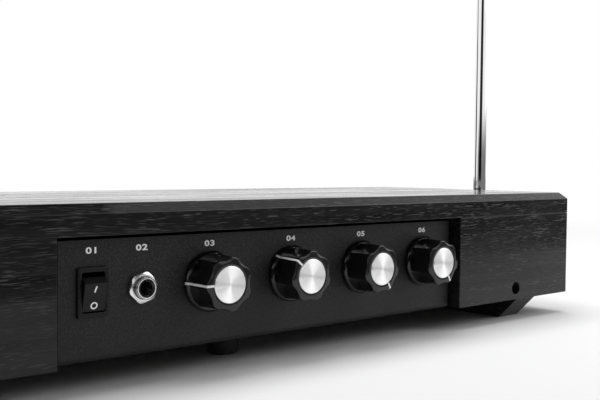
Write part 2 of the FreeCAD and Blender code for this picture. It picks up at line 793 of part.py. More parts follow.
FACE_HALF = "window_height / 2 - rocker_face_margin"
WAIST_HALF = "window_height / 2 - rocker_waist_margin"
ROOT_HALF = "window_height / 2 - rocker_root_margin"
rocker_paddle = padded_body(
    [
        ("-rocker_face_out", FACE_HALF),
        ("-rocker_waist_out", WAIST_HALF),
        ("-rocker_root_out", ROOT_HALF),
        ("rocker_keel", "rocker_keel_half"),
        ("rocker_keel", "-rocker_keel_half"),
        ("-rocker_root_out", f"-({ROOT_HALF})"),
        ("-rocker_waist_out", f"-({WAIST_HALF})"),
        ("-rocker_face_out", f"-({FACE_HALF})"),
    ],
    f"2 * ({ROCKER_HALF})",
)
pin_reach = f"{pivot_reach} - rocker_side_clearance / 2"
rocker_pins = place(cylinder("pivot_radius", f"-({pin_reach})", pin_reach), facing="+x")
rocker = turned(join(rocker_paddle, rocker_pins), Vector(1, 0, 0), "rocker_tilt")
node("power_switch_rocker", place(rocker, SWITCH_X, f"{PANEL} - ({PIVOT_RISE})", CONTROL_LINE))

blades = []
for index in (-1, 0, 1):
    blade = block(
        centred("blade_width"),
        (f"{index} * blade_pitch - blade_thick / 2", f"{index} * blade_pitch + blade_thick / 2"),
        ("-switch_depth - blade_length", "-switch_depth"),
    )
    blades.append(place(blade, SWITCH_X, PANEL, CONTROL_LINE, "-y"))
node("power_switch_terminals", group(*blades))

# --- output jack --------------------------------------------------------------------------------

jack_shell = join(
    block(centred("jack_body_width"), centred("jack_body_height"), ("-jack_body_depth", "0")),
    cylinder("jack_bushing_radius", 0, "sheet_thick + jack_bushing_out"),
)
JACK_BORE_END = "-jack_body_depth + jack_bore_floor"
jack_bore = cylinder("jack_bore_radius", JACK_BORE_END, "sheet_thick + jack_bushing_out")
node("output_jack", place(carve(jack_shell, jack_bore), JACK_X, PANEL_INSIDE, CONTROL_LINE, "-y"))
jack_nut = carve(
    hexagon("jack_nut_flats", 0, "jack_nut_height"),
    cylinder("jack_bushing_radius + running_clearance", 0, "jack_nut_height"),
)
jack_nut = turned(jack_nut, Vector(0, 0, 1), "jack_nut_turn")
node("output_jack_nut", place(jack_nut, JACK_X, PANEL, CONTROL_LINE, "-y"))

# --- circuit board on its standoffs, with the parts it carries --------------------------------------

BOARD_HALF = f"{OPENING} - lip_width - board_lip_gap"
CHOKE_ROW = f"{REAR} - sheet_thick - inlet_body_depth - choke_inlet_gap - choke_radius"
BOARD_LOW = "-(stand_plate_radius + standoff_flange_gap + board_screw_edge)"
BOARD_HIGH = f"{CHOKE_ROW} + choke_radius + board_back_margin"
CHIP_ROW = f"{BOARD_LOW} + chip_margin"
ROW_PITCH = f"({CHOKE_ROW} - ({CHIP_ROW})) / 3"
HOLE_X = f"{BOARD_HALF} - board_screw_edge"
TAP_END = "standoff_height - board_screw_grip - tap_past"
board = block((f"-({BOARD_HALF})", BOARD_HALF), (BOARD_LOW, BOARD_HIGH), (BOARD, BOARD_TOP))
board_holes = []
standoffs = []
board_screws = []
for x_sign in (-1, 0, 1):
    for y in (f"{BOARD_LOW} + board_screw_edge", f"{BOARD_HIGH} - board_screw_edge"):
        x = f"{x_sign} * ({HOLE_X})"
        clearance_hole = cylinder("board_screw_radius + screw_hole_clearance", "0", "board_thick")
        board_holes.append(place(clearance_hole, x, y, BOARD))
        post = hexagon("standoff_flats", 0, "standoff_height")
        tapped = cylinder("board_screw_radius + running_clearance", TAP_END, "standoff_height")
        standoffs.append(place(carve(post, tapped), x, y, PLATE))
        board_screw = screw(
            "board_head_radius", "board_head_height", "board_screw_radius", "board_thick + board_screw_grip"
        )
        board_screws.append(place(board_screw, x, y, BOARD_TOP, "-z"))
node("circuit_board", carve(board, *board_holes))
node("board_standoffs", group(*standoffs))
node("board_screws", group(*board_screws))

CHOKE_END = f"{HOLE_X} - choke_margin"
chokes = []
for side, count in ((-1, 3), (1, 4)):
    for index in range(count):
        spool = join(
            cylinder("choke_radius", 0, "choke_flange"),
            cylinder("choke_core_radius", "choke_flange", "choke_height - choke_flange"),
            cylinder("choke_radius - choke_flange", "2 * choke_flange", "choke_height - 2 * choke_flange"),
            cylinder("choke_radius", "choke_height - choke_flange", "choke_height"),
        )
        x = f"{side} * ({CHOKE_END} - {index} * choke_pitch)"
        chokes.append(place(spool, x, CHOKE_ROW, BOARD_TOP))
node("antenna_coils", group(*chokes))

cans = []
chips = []
for index in (-1.5, -0.5, 0.5, 1.5):
    can = block(centred("can_width"), centred("can_width"), ("0", "can_height"))
    slug_hole = cylinder("can_slug_radius", "can_height - can_slug_depth", "can_height")
    cans.append(place(carve(can, slug_hole), f"{index} * can_pitch", f"{CHOKE_ROW} - {ROW_PITCH}", BOARD_TOP))
for index in (-1, 0, 1):
    chip = block(centred("chip_length"), centred("chip_width"), ("0", "chip_height"))
    chips.append(place(chip, f"{index} * chip_pitch", CHIP_ROW, BOARD_TOP))
node("tuning_coils", group(*cans))
node("integrated_circuits", group(*chips))

capacitors = []
for index in (-2.5, -1.5, -0.5, 0.5, 1.5, 2.5):
    sleeve = cylinder("capacitor_radius", 0, "capacitor_height")
    capacitors.append(place(sleeve, f"{index} * capacitor_pitch", f"{CHIP_ROW} + {ROW_PITCH}", BOARD_TOP))
node("capacitors", group(*capacitors))

regulators = []
for index in (0, 1):
    package = block(centred("regulator_width"), ("0", "regulator_body"), ("0", "regulator_height"))
    tab = block(centred("regulator_width"), ("-regulator_tab", "0"), ("0", "regulator_tab_height"))
    x = f"regulator_inset - ({BOARD_HALF}) + {index} * regulator_pitch"
    regulators.append(place(join(package, tab), x, f"{CHIP_ROW} + regulator_set_back", BOARD_TOP))
node("regulators", group(*regulators))

# --- power inlet in the rear flange -----------------------------------------------------------------

inlet_shell = join(
    block(centred("inlet_body_width"), centred("inlet_body_width"), ("-inlet_body_depth", "0")),
    cylinder("inlet_bushing_radius", 0, "inlet_bushing_out"),
)
INLET_BORE_END = "inlet_bushing_out - inlet_bore_depth"
inlet_bore = cylinder("inlet_bore_radius", INLET_BORE_END, "inlet_bushing_out")
inlet_pin = cylinder("inlet_pin_radius", INLET_BORE_END, "inlet_bushing_out - inlet_pin_sink")
inlet = join(carve(inlet_shell, inlet_bore), inlet_pin)
node("power_inlet", place(inlet, "inlet_x", f"{REAR} - sheet_thick", INLET_Z, "+y"))
inlet_nut = carve(
    hexagon("inlet_nut_flats", 0, "inlet_nut_height"),
    cylinder("inlet_bushing_radius + running_clearance", 0, "inlet_nut_height"),
)
node("power_inlet_nut", place(inlet_nut, "inlet_x", REAR, INLET_Z, "+y"))

# --- antenna fittings: elbow on the right, straight union on the left --------------------------------

STUB_END = f"{INNER_END} - locknut_height - stub_tail"
ARM_END = "arm_length"
SLEEVE_END = "arm_length + sleeve_height"
SEAT = "-arm_seat"
TUBE_BORE = "tube_radius + tube_clearance"

stub = cylinder("stub_radius", 0, f"{RIGHT} - ({STUB_END})")
stub = place(stub, STUB_END, "pitch_fitting_y", FITTING, "+x")
corner = block(
    (RIGHT, f"{ANTENNA_X} + fitting_half"),
    ("pitch_fitting_y - fitting_half", "pitch_fitting_y + fitting_half"),
    (f"{FITTING} - fitting_half", ELBOW_TOP),
)
arm = place(cylinder("arm_radius", 0, "arm_length"), ANTENNA_X, "pitch_fitting_y", ELBOW_TOP)
passage = cylinder("bore_radius", 0, f"{ANTENNA_X} - ({STUB_END})")
passage = place(passage, STUB_END, "pitch_fitting_y", FITTING, "+x")
riser = place(cylinder("bore_radius", 0, "fitting_half"), ANTENNA_X, "pitch_fitting_y", FITTING)
socket = place(cylinder(TUBE_BORE, SEAT, ARM_END), ANTENNA_X, "pitch_fitting_y", ELBOW_TOP)
node("pitch_elbow", carve(join(stub, corner, arm), passage, riser, socket))

union = carve(
    join(
        cylinder("stub_radius", f"{STUB_END} - ({RIGHT})", 0),
        hexagon("locknut_flats", 0, "union_flange"),
        cylinder("arm_radius", "union_flange", "union_flange + arm_length"),
    ),
    cylinder("bore_radius", f"{STUB_END} - ({RIGHT})", "union_flange"),
    cylinder(TUBE_BORE, "union_flange - arm_seat", "union_flange + arm_length"),
)
node("volume_union", place(union, f"-({RIGHT})", 0, FITTING, "-x"))

locknuts = []
for x, y, facing in ((INNER_END, "pitch_fitting_y", "-x"), (f"-({INNER_END})", "0", "+x")):
    locknut = carve(
        hexagon("locknut_flats", 0, "locknut_height"),
        cylinder("stub_radius + running_clearance", 0, "locknut_height"),
    )
    locknuts.append(place(locknut, x, y, FITTING, facing))
node("fitting_locknuts", group(*locknuts))


def clamp_nut():
    """Make a compression nut whose z = 0 is the root of the fitting's threaded arm."""
    end = "clamp_nut_start + clamp_nut_height"
    return carve(
        hexagon("clamp_nut_flats", "clamp_nut_start", end),
        cylinder("arm_radius + running_clearance", "clamp_nut_start", f"{SLEEVE_END} + sleeve_play"),
        cylinder(TUBE_BORE, "clamp_nut_start", end),
    )


def clamp_sleeve():
    """Make the nylon sleeve that the nut squeezes onto the tube."""
    ring = cylinder("arm_radius - sleeve_play", ARM_END, SLEEVE_END)
    return carve(ring, cylinder(TUBE_BORE, ARM_END, SLEEVE_END))


for name, place_of_arm in (
    ("pitch", (ANTENNA_X, "pitch_fitting_y", ELBOW_TOP, "+z")),
    ("volume", (f"-({UNION_FACE})", "0", FITTING, "-x")),
):
    node(f"{name}_clamp_nut", place(clamp_nut(), *place_of_arm))
    node(f"{name}_sleeve", place(clamp_sleeve(), *place_of_arm))

ANTENNA_TOP = "pitch_antenna_length - arm_seat"
dome = doc.addObject("Part::Sphere", "dome")
bind(dome, Radius="tube_radius")
settle(dome, z=ANTENNA_TOP)
tube = join(cylinder("tube_radius", SEAT, ANTENNA_TOP), dome)
pitch_antenna = carve(tube, cylinder("tube_radius - tube_wall", SEAT, ANTENNA_TOP))
node("pitch_antenna", place(pitch_antenna, ANTENNA_X, "pitch_fitting_y", ELBOW_TOP))

# --- bent pieces: the volume loop and the antenna leads -----------------------------------------------

doc.recompute()


def rounded_path(points, radii):
    """Join points with straight runs and a tangent arc of the given radius at each point between."""
    edges = []
    start = points[0]
    for before, corner_point, after, radius in zip(points, points[1:], points[2:], radii):
        back_way = (before - corner_point).normalize()
        on_way = (after - corner_point).normalize()
        half_angle = back_way.getAngle(on_way) / 2
        reach = radius / math.tan(half_angle)
        bisector = (back_way + on_way).normalize()
        arc_start = corner_point + back_way * reach
        arc_end = corner_point + on_way * reach
        centre = corner_point + bisector * (radius / math.sin(half_angle))
        arc_middle = centre - bisector * radius
        edges.append(Part.LineSegment(start, arc_start).toShape())
        edges.append(Part.Arc(arc_start, arc_middle, arc_end).toShape())
        start = arc_end
    edges.append(Part.LineSegment(start, points[-1]).toShape())
    return Part.Wire(edges)


def bent_rod(path, radius):
    """Sweep a round section along a path."""
    first = path.OrderedEdges[0]
    section = Part.Wire(Part.makeCircle(radius, first.valueAt(0), first.tangentAt(0)))
    return path.makePipeShell([section], True, False)


def shaped(label, shape):
    """Add a sub-part whose shape is made by Part's own functions."""
    piece = doc.addObject("Part::Feature", label)
    piece.Shape = shape
    return node(label, piece)


half_length = size("cabinet_length") / 2
fitting_z = size("stand_drop") + size("fitting_rise")
union_face_x = -half_length - size("union_flange")
near_x = -half_length - size("loop_start")
far_x = near_x - size("loop_length")
half_loop = size("loop_width") / 2
loop_points = [
    Vector(union_face_x + size("arm_seat"), 0, fitting_z),
    Vector(near_x, 0, fitting_z),
    Vector(near_x, -half_loop, fitting_z),
    Vector(far_x, -half_loop, fitting_z),
    Vector(far_x, half_loop, fitting_z),
    Vector(near_x, half_loop, fitting_z),
    Vector(near_x, size("loop_end_gap"), fitting_z),
]
loop_radii = [size(f"loop_{bend}_bend") for bend in ("stem", "near", "far", "far", "near")]
loop_path = rounded_path(loop_points, loop_radii)
loop_outside = bent_rod(loop_path, size("tube_radius"))
loop_inside = bent_rod(loop_path, size("tube_radius") - size("tube_wall"))
loop_end = Part.makeSphere(size("tube_radius"), loop_points[-1])
shaped("volume_loop", loop_outside.fuse(loop_end).removeSplitter().cut(loop_inside))

board_top = size("stand_drop") + size("sheet_thick") + size("standoff_height") + size("board_thick")
board_half = size("opening_width") / 2 - size("lip_width") - size("board_lip_gap")
locknut_face_x = half_length - size("end_thick") - size("locknut_height")
solder_rise = (size("stub_radius") + size("locknut_flats") / 2) / 2
leads = []
for side, fitting_y in ((1, size("pitch_fitting_y")), (-1, 0.0)):
    board_x = side * (board_half - size("lead_board_inset"))
    lead_points = [
        Vector(board_x, size("lead_y"), board_top),
        Vector(board_x, size("lead_y"), board_top + size("lead_rise")),
        Vector(side * (locknut_face_x - size("lead_straight")), fitting_y, fitting_z + solder_rise),
        Vector(side * locknut_face_x, fitting_y, fitting_z + solder_rise),
    ]
    leads.append(bent_rod(rounded_path(lead_points, [size("lead_bend")] * 2), size("lead_radius")))
shaped("antenna_leads", Part.makeCompound(leads))

# --- checks and files -----------------------------------------------------------------------------

doc.recompute()
for item in doc.Objects:
    if "Invalid" in item.State or "Error" in item.State:
        raise RuntimeError(f"{item.Name} ({item.Label}) is {item.State}")
os.makedirs("parts", exist_ok=True)
for label, piece in nodes.items():
    if piece.Shape.isNull() or not piece.Shape.isValid():
        raise RuntimeError(f"{label} has no valid shape")
    piece.Shape.exportStep(f"parts/{label}.step")
    print(label, len(piece.Shape.Solids), round(piece.Shape.Volume, 1))
print(len(nodes), "sub-parts")
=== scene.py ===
"""A theremin in its black wooden cabinet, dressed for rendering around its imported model.

Metres, +Z up, the front of the cabinet towards -Y and its right end towards +X.
"""
import json
import math

import bmesh
import bpy
from mathutils import Matrix, Vector

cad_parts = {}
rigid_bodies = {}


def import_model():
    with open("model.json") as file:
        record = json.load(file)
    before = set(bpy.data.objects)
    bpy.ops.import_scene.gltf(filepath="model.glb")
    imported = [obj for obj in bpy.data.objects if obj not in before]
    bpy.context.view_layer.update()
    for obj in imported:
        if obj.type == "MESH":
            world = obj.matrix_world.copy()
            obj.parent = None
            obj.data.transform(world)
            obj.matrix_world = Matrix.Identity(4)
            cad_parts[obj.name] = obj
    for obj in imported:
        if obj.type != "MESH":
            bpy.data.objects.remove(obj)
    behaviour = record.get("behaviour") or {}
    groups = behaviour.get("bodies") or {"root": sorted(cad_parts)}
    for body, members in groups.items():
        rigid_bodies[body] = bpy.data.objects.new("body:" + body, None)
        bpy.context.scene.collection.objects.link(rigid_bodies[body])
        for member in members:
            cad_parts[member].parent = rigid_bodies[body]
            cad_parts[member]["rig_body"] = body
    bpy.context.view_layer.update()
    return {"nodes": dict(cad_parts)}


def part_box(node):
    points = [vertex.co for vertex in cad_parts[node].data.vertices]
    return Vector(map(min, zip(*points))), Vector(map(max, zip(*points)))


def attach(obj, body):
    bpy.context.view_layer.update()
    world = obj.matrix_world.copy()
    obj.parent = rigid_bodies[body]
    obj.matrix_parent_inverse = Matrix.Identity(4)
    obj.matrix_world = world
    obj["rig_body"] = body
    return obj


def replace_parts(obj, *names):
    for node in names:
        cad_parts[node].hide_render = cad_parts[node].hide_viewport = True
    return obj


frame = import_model()
nodes = frame["nodes"]

# --- studio ---
# A white table top, softboxes overhead, at the right and at the front right, a bright wall behind and
# a dim room in front, which gloss shows past the table's front edge. None of it is the instrument's.


def step(tree, kind, inputs=None, **settings):
    """Add a node to a tree, choose its settings, and fill or link its inputs."""
    added = tree.nodes.new(kind)
    for name, value in settings.items():
        setattr(added, name, value)
    for name, value in (inputs or {}).items():
        if isinstance(value, bpy.types.NodeSocket):
            tree.links.new(value, added.inputs[name])
        else:
            added.inputs[name].default_value = value
    return added


def reckon(tree, operation, *terms):
    """Add one step of arithmetic and hand back its result."""
    return step(tree, "ShaderNodeMath", dict(enumerate(terms)), operation=operation).outputs[0]


def vectors(tree, operation, *terms, out=0, **more):
    """Add one step of vector arithmetic and hand back its result."""
    terms = {**dict(enumerate(terms)), **more}
    return step(tree, "ShaderNodeVectorMath", terms, operation=operation).outputs[out]


def layered(tree, share, under, over):
    """Lay one shader over another by a share."""
    return step(tree, "ShaderNodeMixShader", {0: share, 1: under, 2: over}).outputs[0]


def chosen(tree, share, off, on):
    """Mix two levels by a share."""
    return step(tree, "ShaderNodeMix", {"Factor": share, "A": off, "B": on}).outputs["Result"]


def between(tree, value, low, high, start=0.0, end=1.0):
    """Ease from one number to another while a value goes from low to high."""
    terms = {"Value": value, "From Min": low, "From Max": high, "To Min": start, "To Max": end}
    return step(tree, "ShaderNodeMapRange", terms, interpolation_type="SMOOTHSTEP").outputs["Result"]


def new_finish(name, roughness, colour=(0.8, 0.8, 0.8), metallic=0.0, specular=0.5):
    """Start a material, and hand back its tree, its shader and the object's own coordinates."""
    finish = bpy.data.materials.new(name)
    finish.use_nodes = True
    tree = finish.node_tree
    shader = tree.nodes["Principled BSDF"]
    shader.inputs["Base Color"].default_value = (*colour, 1.0)
    shader.inputs["Roughness"].default_value = roughness
    shader.inputs["Metallic"].default_value = metallic
    shader.inputs["Specular IOR Level"].default_value = specular
    place = step(tree, "ShaderNodeTexCoord").outputs["Object"]
    return finish, tree, shader, place


def stretched(tree, place, scale, detail=2.0, roughness=0.5, out="Fac"):
    """Add noise with one scale, in cycles a metre, or with a scale of its own along each axis."""
    along_axes = scale if isinstance(scale, tuple) else (scale,) * 3
    spread = step(tree, "ShaderNodeMapping", {"Vector": place, "Scale": along_axes})
    terms = {"Vector": spread.outputs[0], "Scale": 1.0, "Detail": detail, "Roughness": roughness}
    return step(tree, "ShaderNodeTexNoise", terms).outputs[out]


def relief(tree, shader, height, depth, strength=1.0):
    """Raise a surface by a height field, up to a depth in metres."""
    bump = step(tree, "ShaderNodeBump", {"Height": height, "Distance": depth, "Strength": strength})
    tree.links.new(bump.outputs["Normal"], shader.inputs["Normal"])


def shades(tree, value, *stops):
    """Turn a value into greys or colours, each stop a (place, grey or colour) pair."""
    ramp = step(tree, "ShaderNodeValToRGB", {"Fac": value})
    marks = ramp.color_ramp.elements
    while len(marks) < len(stops):
        marks.new(0.5)
    for mark, (where, level) in zip(marks, stops):
        mark.position = where
        mark.color = (level, level, level, 1.0) if isinstance(level, float) else (*level, 1.0)
    return ramp.outputs["Color"]


def placed(name, data):
    """Put a new object in the scene."""
    made = bpy.data.objects.new(name, data)
    bpy.context.scene.collection.objects.link(made)
    return made


FLOOR_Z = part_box("runner_right")[0].z
SWEEP = 9.0
FADES_FROM, WHITE_FROM = 0.42, 1.3
EDGE_FRONT, EDGE_BACK = -0.36, -0.33
table_finish, tree, shader, place = new_finish("white_sweep", 0.9, (0.93,) * 3, specular=0.1)
away = vectors(tree, "LENGTH", place, out="Value")
rays = step(tree, "ShaderNodeLightPath").outputs
fade = reckon(tree, "MULTIPLY", between(tree, away, FADES_FROM, WHITE_FROM), rays["Is Camera Ray"])
glow = step(tree, "ShaderNodeEmission", {"Strength": 1.0})
mixed = layered(tree, fade, shader.outputs[0], glow.outputs[0])
forwards = step(tree, "ShaderNodeSeparateXYZ", {0: place}).outputs["Y"]
front_edge = between(tree, forwards, EDGE_FRONT, EDGE_BACK, 1.0, 0.0)
past_it = reckon(tree, "MULTIPLY", front_edge, rays["Is Glossy Ray"])
gloom = step(tree, "ShaderNodeEmission", {"Strength": 0.2})
mixed = layered(tree, past_it, mixed, gloom.outputs[0])
beneath = step(tree, "ShaderNodeNewGeometry").outputs["Backfacing"]
mixed = layered(tree, beneath, mixed, step(tree, "ShaderNodeBsdfTransparent").outputs[0])
tree.links.new(mixed, tree.nodes["Material Output"].inputs["Surface"])

table_mesh = bpy.data.meshes.new("table_top")
table_corners = [(x * SWEEP, y * SWEEP, FLOOR_Z) for x, y in ((-1, -1), (1, -1), (1, 1), (-1, 1))]
table_mesh.from_pydata(table_corners, [], [(0, 1, 2, 3)])
table_mesh.materials.append(table_finish)
table_top = placed("table_top", table_mesh)


def lamp(name, watts, width, depth, where, aim):
    """Hang an area lamp at a place and aim it."""
    light = bpy.data.lights.new(name, "AREA")
    light.shape = "RECTANGLE"
    light.size = width
    light.size_y = depth
    light.energy = watts
    holder = placed(name, light)
    holder.location = where
    holder.rotation_euler = (Vector(aim) - Vector(where)).to_track_quat("-Z", "Y").to_euler()
    return holder


lamp("side_light", 9.5, 2.0, 1.6, (1.15, -0.15, 0.90), (0.0, 0.0, 0.05))
lamp("front_light", 3.2, 0.8, 0.6, (0.90, -0.90, 0.75), (0.0, 0.0, 0.05))
lamp("top_light", 13.4, 1.3, 0.8, (0.10, 0.15, 1.25), (0.10, 0.15, 0.0)).visible_glossy = False

world = bpy.data.worlds.new("studio")
bpy.context.scene.world = world
world.use_nodes = True
tree = world.node_tree
towards = step(tree, "ShaderNodeTexCoord").outputs["Generated"]
split = step(tree, "ShaderNodeSeparateXYZ", {0: towards}).outputs
wall = between(tree, split["Z"], 0.20, 0.55, 1.0, 0.3)
front = between(tree, split["Z"], 0.02, 0.09, 0.2, 1.0)
front = reckon(tree, "MULTIPLY", front, between(tree, split["Z"], 0.36, 0.62, 1.0, 0.05))
room = chosen(tree, between(tree, split["Y"], -0.10, 0.25), front, wall)
DARK_WAYS = [((-0.735, -0.677, 0.0), 0.87, 0.94), ((-0.64, 0.77, 0.0), 0.95, 0.99)]
for dark_way, edge, middle_of_it in DARK_WAYS:
    facing_it = vectors(tree, "DOT_PRODUCT", towards, dark_way, out="Value")
    room = reckon(tree, "MULTIPLY", room, between(tree, facing_it, edge, middle_of_it, 1.0, 0.02))
rays = step(tree, "ShaderNodeLightPath").outputs
FILL = 0.11
lit = chosen(tree, rays["Is Glossy Ray"], FILL, room)
lit = chosen(tree, rays["Is Transmission Ray"], lit, room)
lit = chosen(tree, rays["Is Camera Ray"], lit, 1.0)
background = tree.nodes["Background"]
background.inputs["Color"].default_value = (1.0, 1.0, 1.0, 1.0)
tree.links.new(lit, background.inputs["Strength"])

camera = placed("camera", bpy.data.cameras.new("camera"))
camera.data.lens = 50.83
camera.data.sensor_width = 36.0
camera.data.clip_start = 0.01
YAW, PITCH, ROLL = (math.radians(degrees) for degrees in (40.29, 2.247, 0.494))
camera.rotation_mode = "QUATERNION"
turn = Matrix.Rotation(-YAW, 4, "Z") @ Matrix.Rotation(math.pi / 2 - PITCH, 4, "X")
turn = turn @ Matrix.Rotation(ROLL, 4, "Z")
camera.rotation_quaternion = turn.to_quaternion()
camera.location = (-0.2663, -0.3978, 0.0909)
bpy.context.scene.camera = camera
bpy.context.scene.view_settings.view_transform = "Standard"

# --- wooden cabinet ---
# Ten boards of an open-pored hardwood, glued up with butt joints, sanded, dyed black and oiled, so
# that the pores and veins stay open. Every arris is eased by hand with fine paper.

MM = 0.001
GROUND, VEIN = 0.010, 0.045
SWAY = 0.006


def black_wood(name, grain):
    """Make dyed wood whose grain runs along one axis of the board."""
    finish, tree, shader, place = new_finish(name, 0.2, specular=0.25)

    def scale(along, across):
        return tuple(along if axis == grain else across for axis in range(3))

    sway = stretched(tree, place, scale(7.0, 26.0), 1.0, out="Color")
    sway = vectors(tree, "SUBTRACT", sway, (0.5,) * 3)
    bent = vectors(tree, "ADD", place, vectors(tree, "SCALE", sway, Scale=SWAY))
    figure = stretched(tree, bent, scale(9.0, 170.0), 3.0, 0.55)
    growth = reckon(tree, "PINGPONG", stretched(tree, bent, scale(2.4, 26.0), 1.0, 0.4), 0.026)
    early_wood = between(tree, growth, 0.002, 0.013, 1.0, 0.45)
    streaks = stretched(tree, bent, scale(22.0, 900.0), 3.0, 0.6)
    pores = stretched(tree, bent, scale(150.0, 2700.0), 0.0, 0.5)
    flecks = reckon(tree, "MULTIPLY", between(tree, pores, 0.60, 0.72), early_wood)
    veins = reckon(tree, "MULTIPLY", between(tree, streaks, 0.5, 0.72), early_wood)
    light = reckon(tree, "MAXIMUM", flecks, reckon(tree, "MULTIPLY", veins, 0.22))
    body = reckon(tree, "MULTIPLY", between(tree, figure, 0.3, 0.7, 0.6, 1.5), GROUND)
    tree.links.new(reckon(tree, "MULTIPLY_ADD", light, VEIN, body), shader.inputs["Base Color"])
    bands = stretched(tree, bent, scale(6.0, 90.0), 2.0, 0.65)
    gloss = between(tree, bands, 0.36, 0.66, 0.05, 0.20)
    tree.links.new(reckon(tree, "MULTIPLY_ADD", flecks, 0.25, gloss), shader.inputs["Roughness"])
    height = reckon(tree, "MULTIPLY_ADD", flecks, -1.0, reckon(tree, "MULTIPLY", streaks, 0.5))
    relief(tree, shader, height, 0.00003, 0.8)
    return finish


def hardened(form, name, where=None):
    """Turn a worked form into a plain mesh, at its seat."""
    mesh = bpy.data.meshes.new(name)
    form.to_mesh(mesh)
    form.free()
    if where is not None:
        mesh.transform(where)
    return mesh


SAME_SPOT = 2e-6
FLAT = math.radians(0.5)
ARRIS = math.radians(30)


def eased(node, radius, finish, segments=3):
    """Copy a node's mesh, merge its triangles and round its edges by a small radius."""
    form = bmesh.new()
    form.from_mesh(nodes[node].data)
    bmesh.ops.remove_doubles(form, verts=form.verts, dist=SAME_SPOT)
    bmesh.ops.dissolve_limit(form, angle_limit=FLAT, verts=form.verts, edges=form.edges)
    mesh = hardened(form, f"{node}_eased")
    if "custom_normal" in mesh.attributes:
        mesh.attributes.remove(mesh.attributes["custom_normal"])
    mesh.shade_smooth()
    mesh.materials.clear()
    mesh.materials.append(finish)
    piece = placed(f"{node}_eased", mesh)
    bevel = piece.modifiers.new("eased_edges", "BEVEL")
    bevel.width = radius
    bevel.segments = segments
    bevel.limit_method = "ANGLE"
    bevel.angle_limit = ARRIS
    bevel.harden_normals = True
    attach(piece, nodes[node]["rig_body"])
    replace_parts(piece, node)
    return piece


long_grain = black_wood("black_wood_long", 0)
end_board_grain = black_wood("black_wood_end_boards", 1)
SHOWN_ARRIS, HANDLED_ARRIS = 0.4 * MM, 0.6 * MM
for board in ("top_board", "front_block_left", "front_block_right", "back_board"):
    eased(board, SHOWN_ARRIS, long_grain)
for board in ("bottom_board_left", "bottom_board_right"):
    eased(board, HANDLED_ARRIS, long_grain)
for board in ("end_board_left", "end_board_right", "runner_left", "runner_right"):
    eased(board, HANDLED_ARRIS, end_board_grain)

# --- sheet-metal chassis ---
# One sheet of mild steel, punched, bent up at the front and the back, and powder-coated in a fine
# black texture. Its front is the control panel, and it comes out of the cabinet downwards.


def dress(finish, *names):
    """Give carried-over pieces a finish."""
    for name in names:
        for slot in nodes[name].material_slots:
            slot.material = finish


panel_paint, tree, shader, place = new_finish("panel_paint", 0.5, (0.014,) * 3, specular=0.28)
grit = stretched(tree, place, 1300.0, 2.0, 0.6)
cloud = stretched(tree, place, 22.0, 3.0)
tree.links.new(between(tree, grit, 0.3, 0.75, 0.4, 0.58), shader.inputs["Roughness"])
tone = reckon(tree, "MULTIPLY_ADD", between(tree, grit, 0.42, 0.68), 0.020, 0.005)
tone = reckon(tree, "MULTIPLY", tone, between(tree, cloud, 0.3, 0.7, 0.85, 1.15))
tree.links.new(tone, shader.inputs["Base Color"])
relief(tree, shader, grit, 0.00008, 0.6)
SHEET_EDGE = 0.25 * MM
eased("chassis", SHEET_EDGE, panel_paint, 2)

# --- panel legends ---
# Plain numbers, one over each control, screen-printed on the panel in white ink that stands a few
# hundredths of a millimetre proud.

PANEL_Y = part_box("chassis")[0].y
CONTROL_Z = sum(corner.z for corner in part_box("output_jack_nut")) / 2
KNOBS = ("volume", "pitch", "waveform", "brightness")


def middle(node):
    """Find the middle of a node's box."""
    low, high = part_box(node)
    return (low + high) / 2


def to_piece(name, mesh, finish, body="root", slot=None, shade_angle=32):
    """Put a finished mesh on a body."""
    mesh.materials.clear()
    mesh.materials.append(finish)
    mesh.shade_smooth()
    if shade_angle:
        mesh.set_sharp_from_angle(angle=math.radians(shade_angle))
    piece = placed(name, mesh)
    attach(piece, body)
    return piece


FACING = {
    "-y": Matrix.Rotation(math.pi / 2, 4, "X"),
    "+y": Matrix.Rotation(-math.pi / 2, 4, "X"),
    "-x": Matrix.Rotation(-math.pi / 2, 4, "Y"),
    "+z": Matrix.Identity(4),
    "-z": Matrix.Rotation(math.pi, 4, "X"),
}


def seat(x, y, z, facing="+z", spin=0.0):
    """Make the matrix that carries a piece, made on Z, to its seat."""
    return Matrix.Translation((x, y, z)) @ FACING[facing] @ Matrix.Rotation(math.radians(spin), 4, "Z")


def mottled(name, roughness, colour, grain, tones=None, gloss=None, bumps=None, bump_grain=None, **more):
    """Make a finish whose tone, gloss and height follow one fine grain, or whose height has its own."""
    finish, tree, shader, place = new_finish(name, roughness, colour, **more)
    mottling = stretched(tree, place, *grain)
    if tones:
        tree.links.new(shades(tree, mottling, *tones), shader.inputs["Base Color"])
    if gloss:
        tree.links.new(between(tree, mottling, *gloss), shader.inputs["Roughness"])
    if bumps:
        relief(tree, shader, stretched(tree, place, bump_grain) if bump_grain else mottling, *bumps)
    return finish


white_ink = mottled(
    "white_ink", 0.5, (0.95, 0.95, 0.94), (3000.0, 1.0), tones=((0.25, 0.88), (0.5, 0.96)),
    gloss=(0.25, 0.7, 0.40, 0.62), bumps=(0.00002, 0.4), specular=0.4,
)

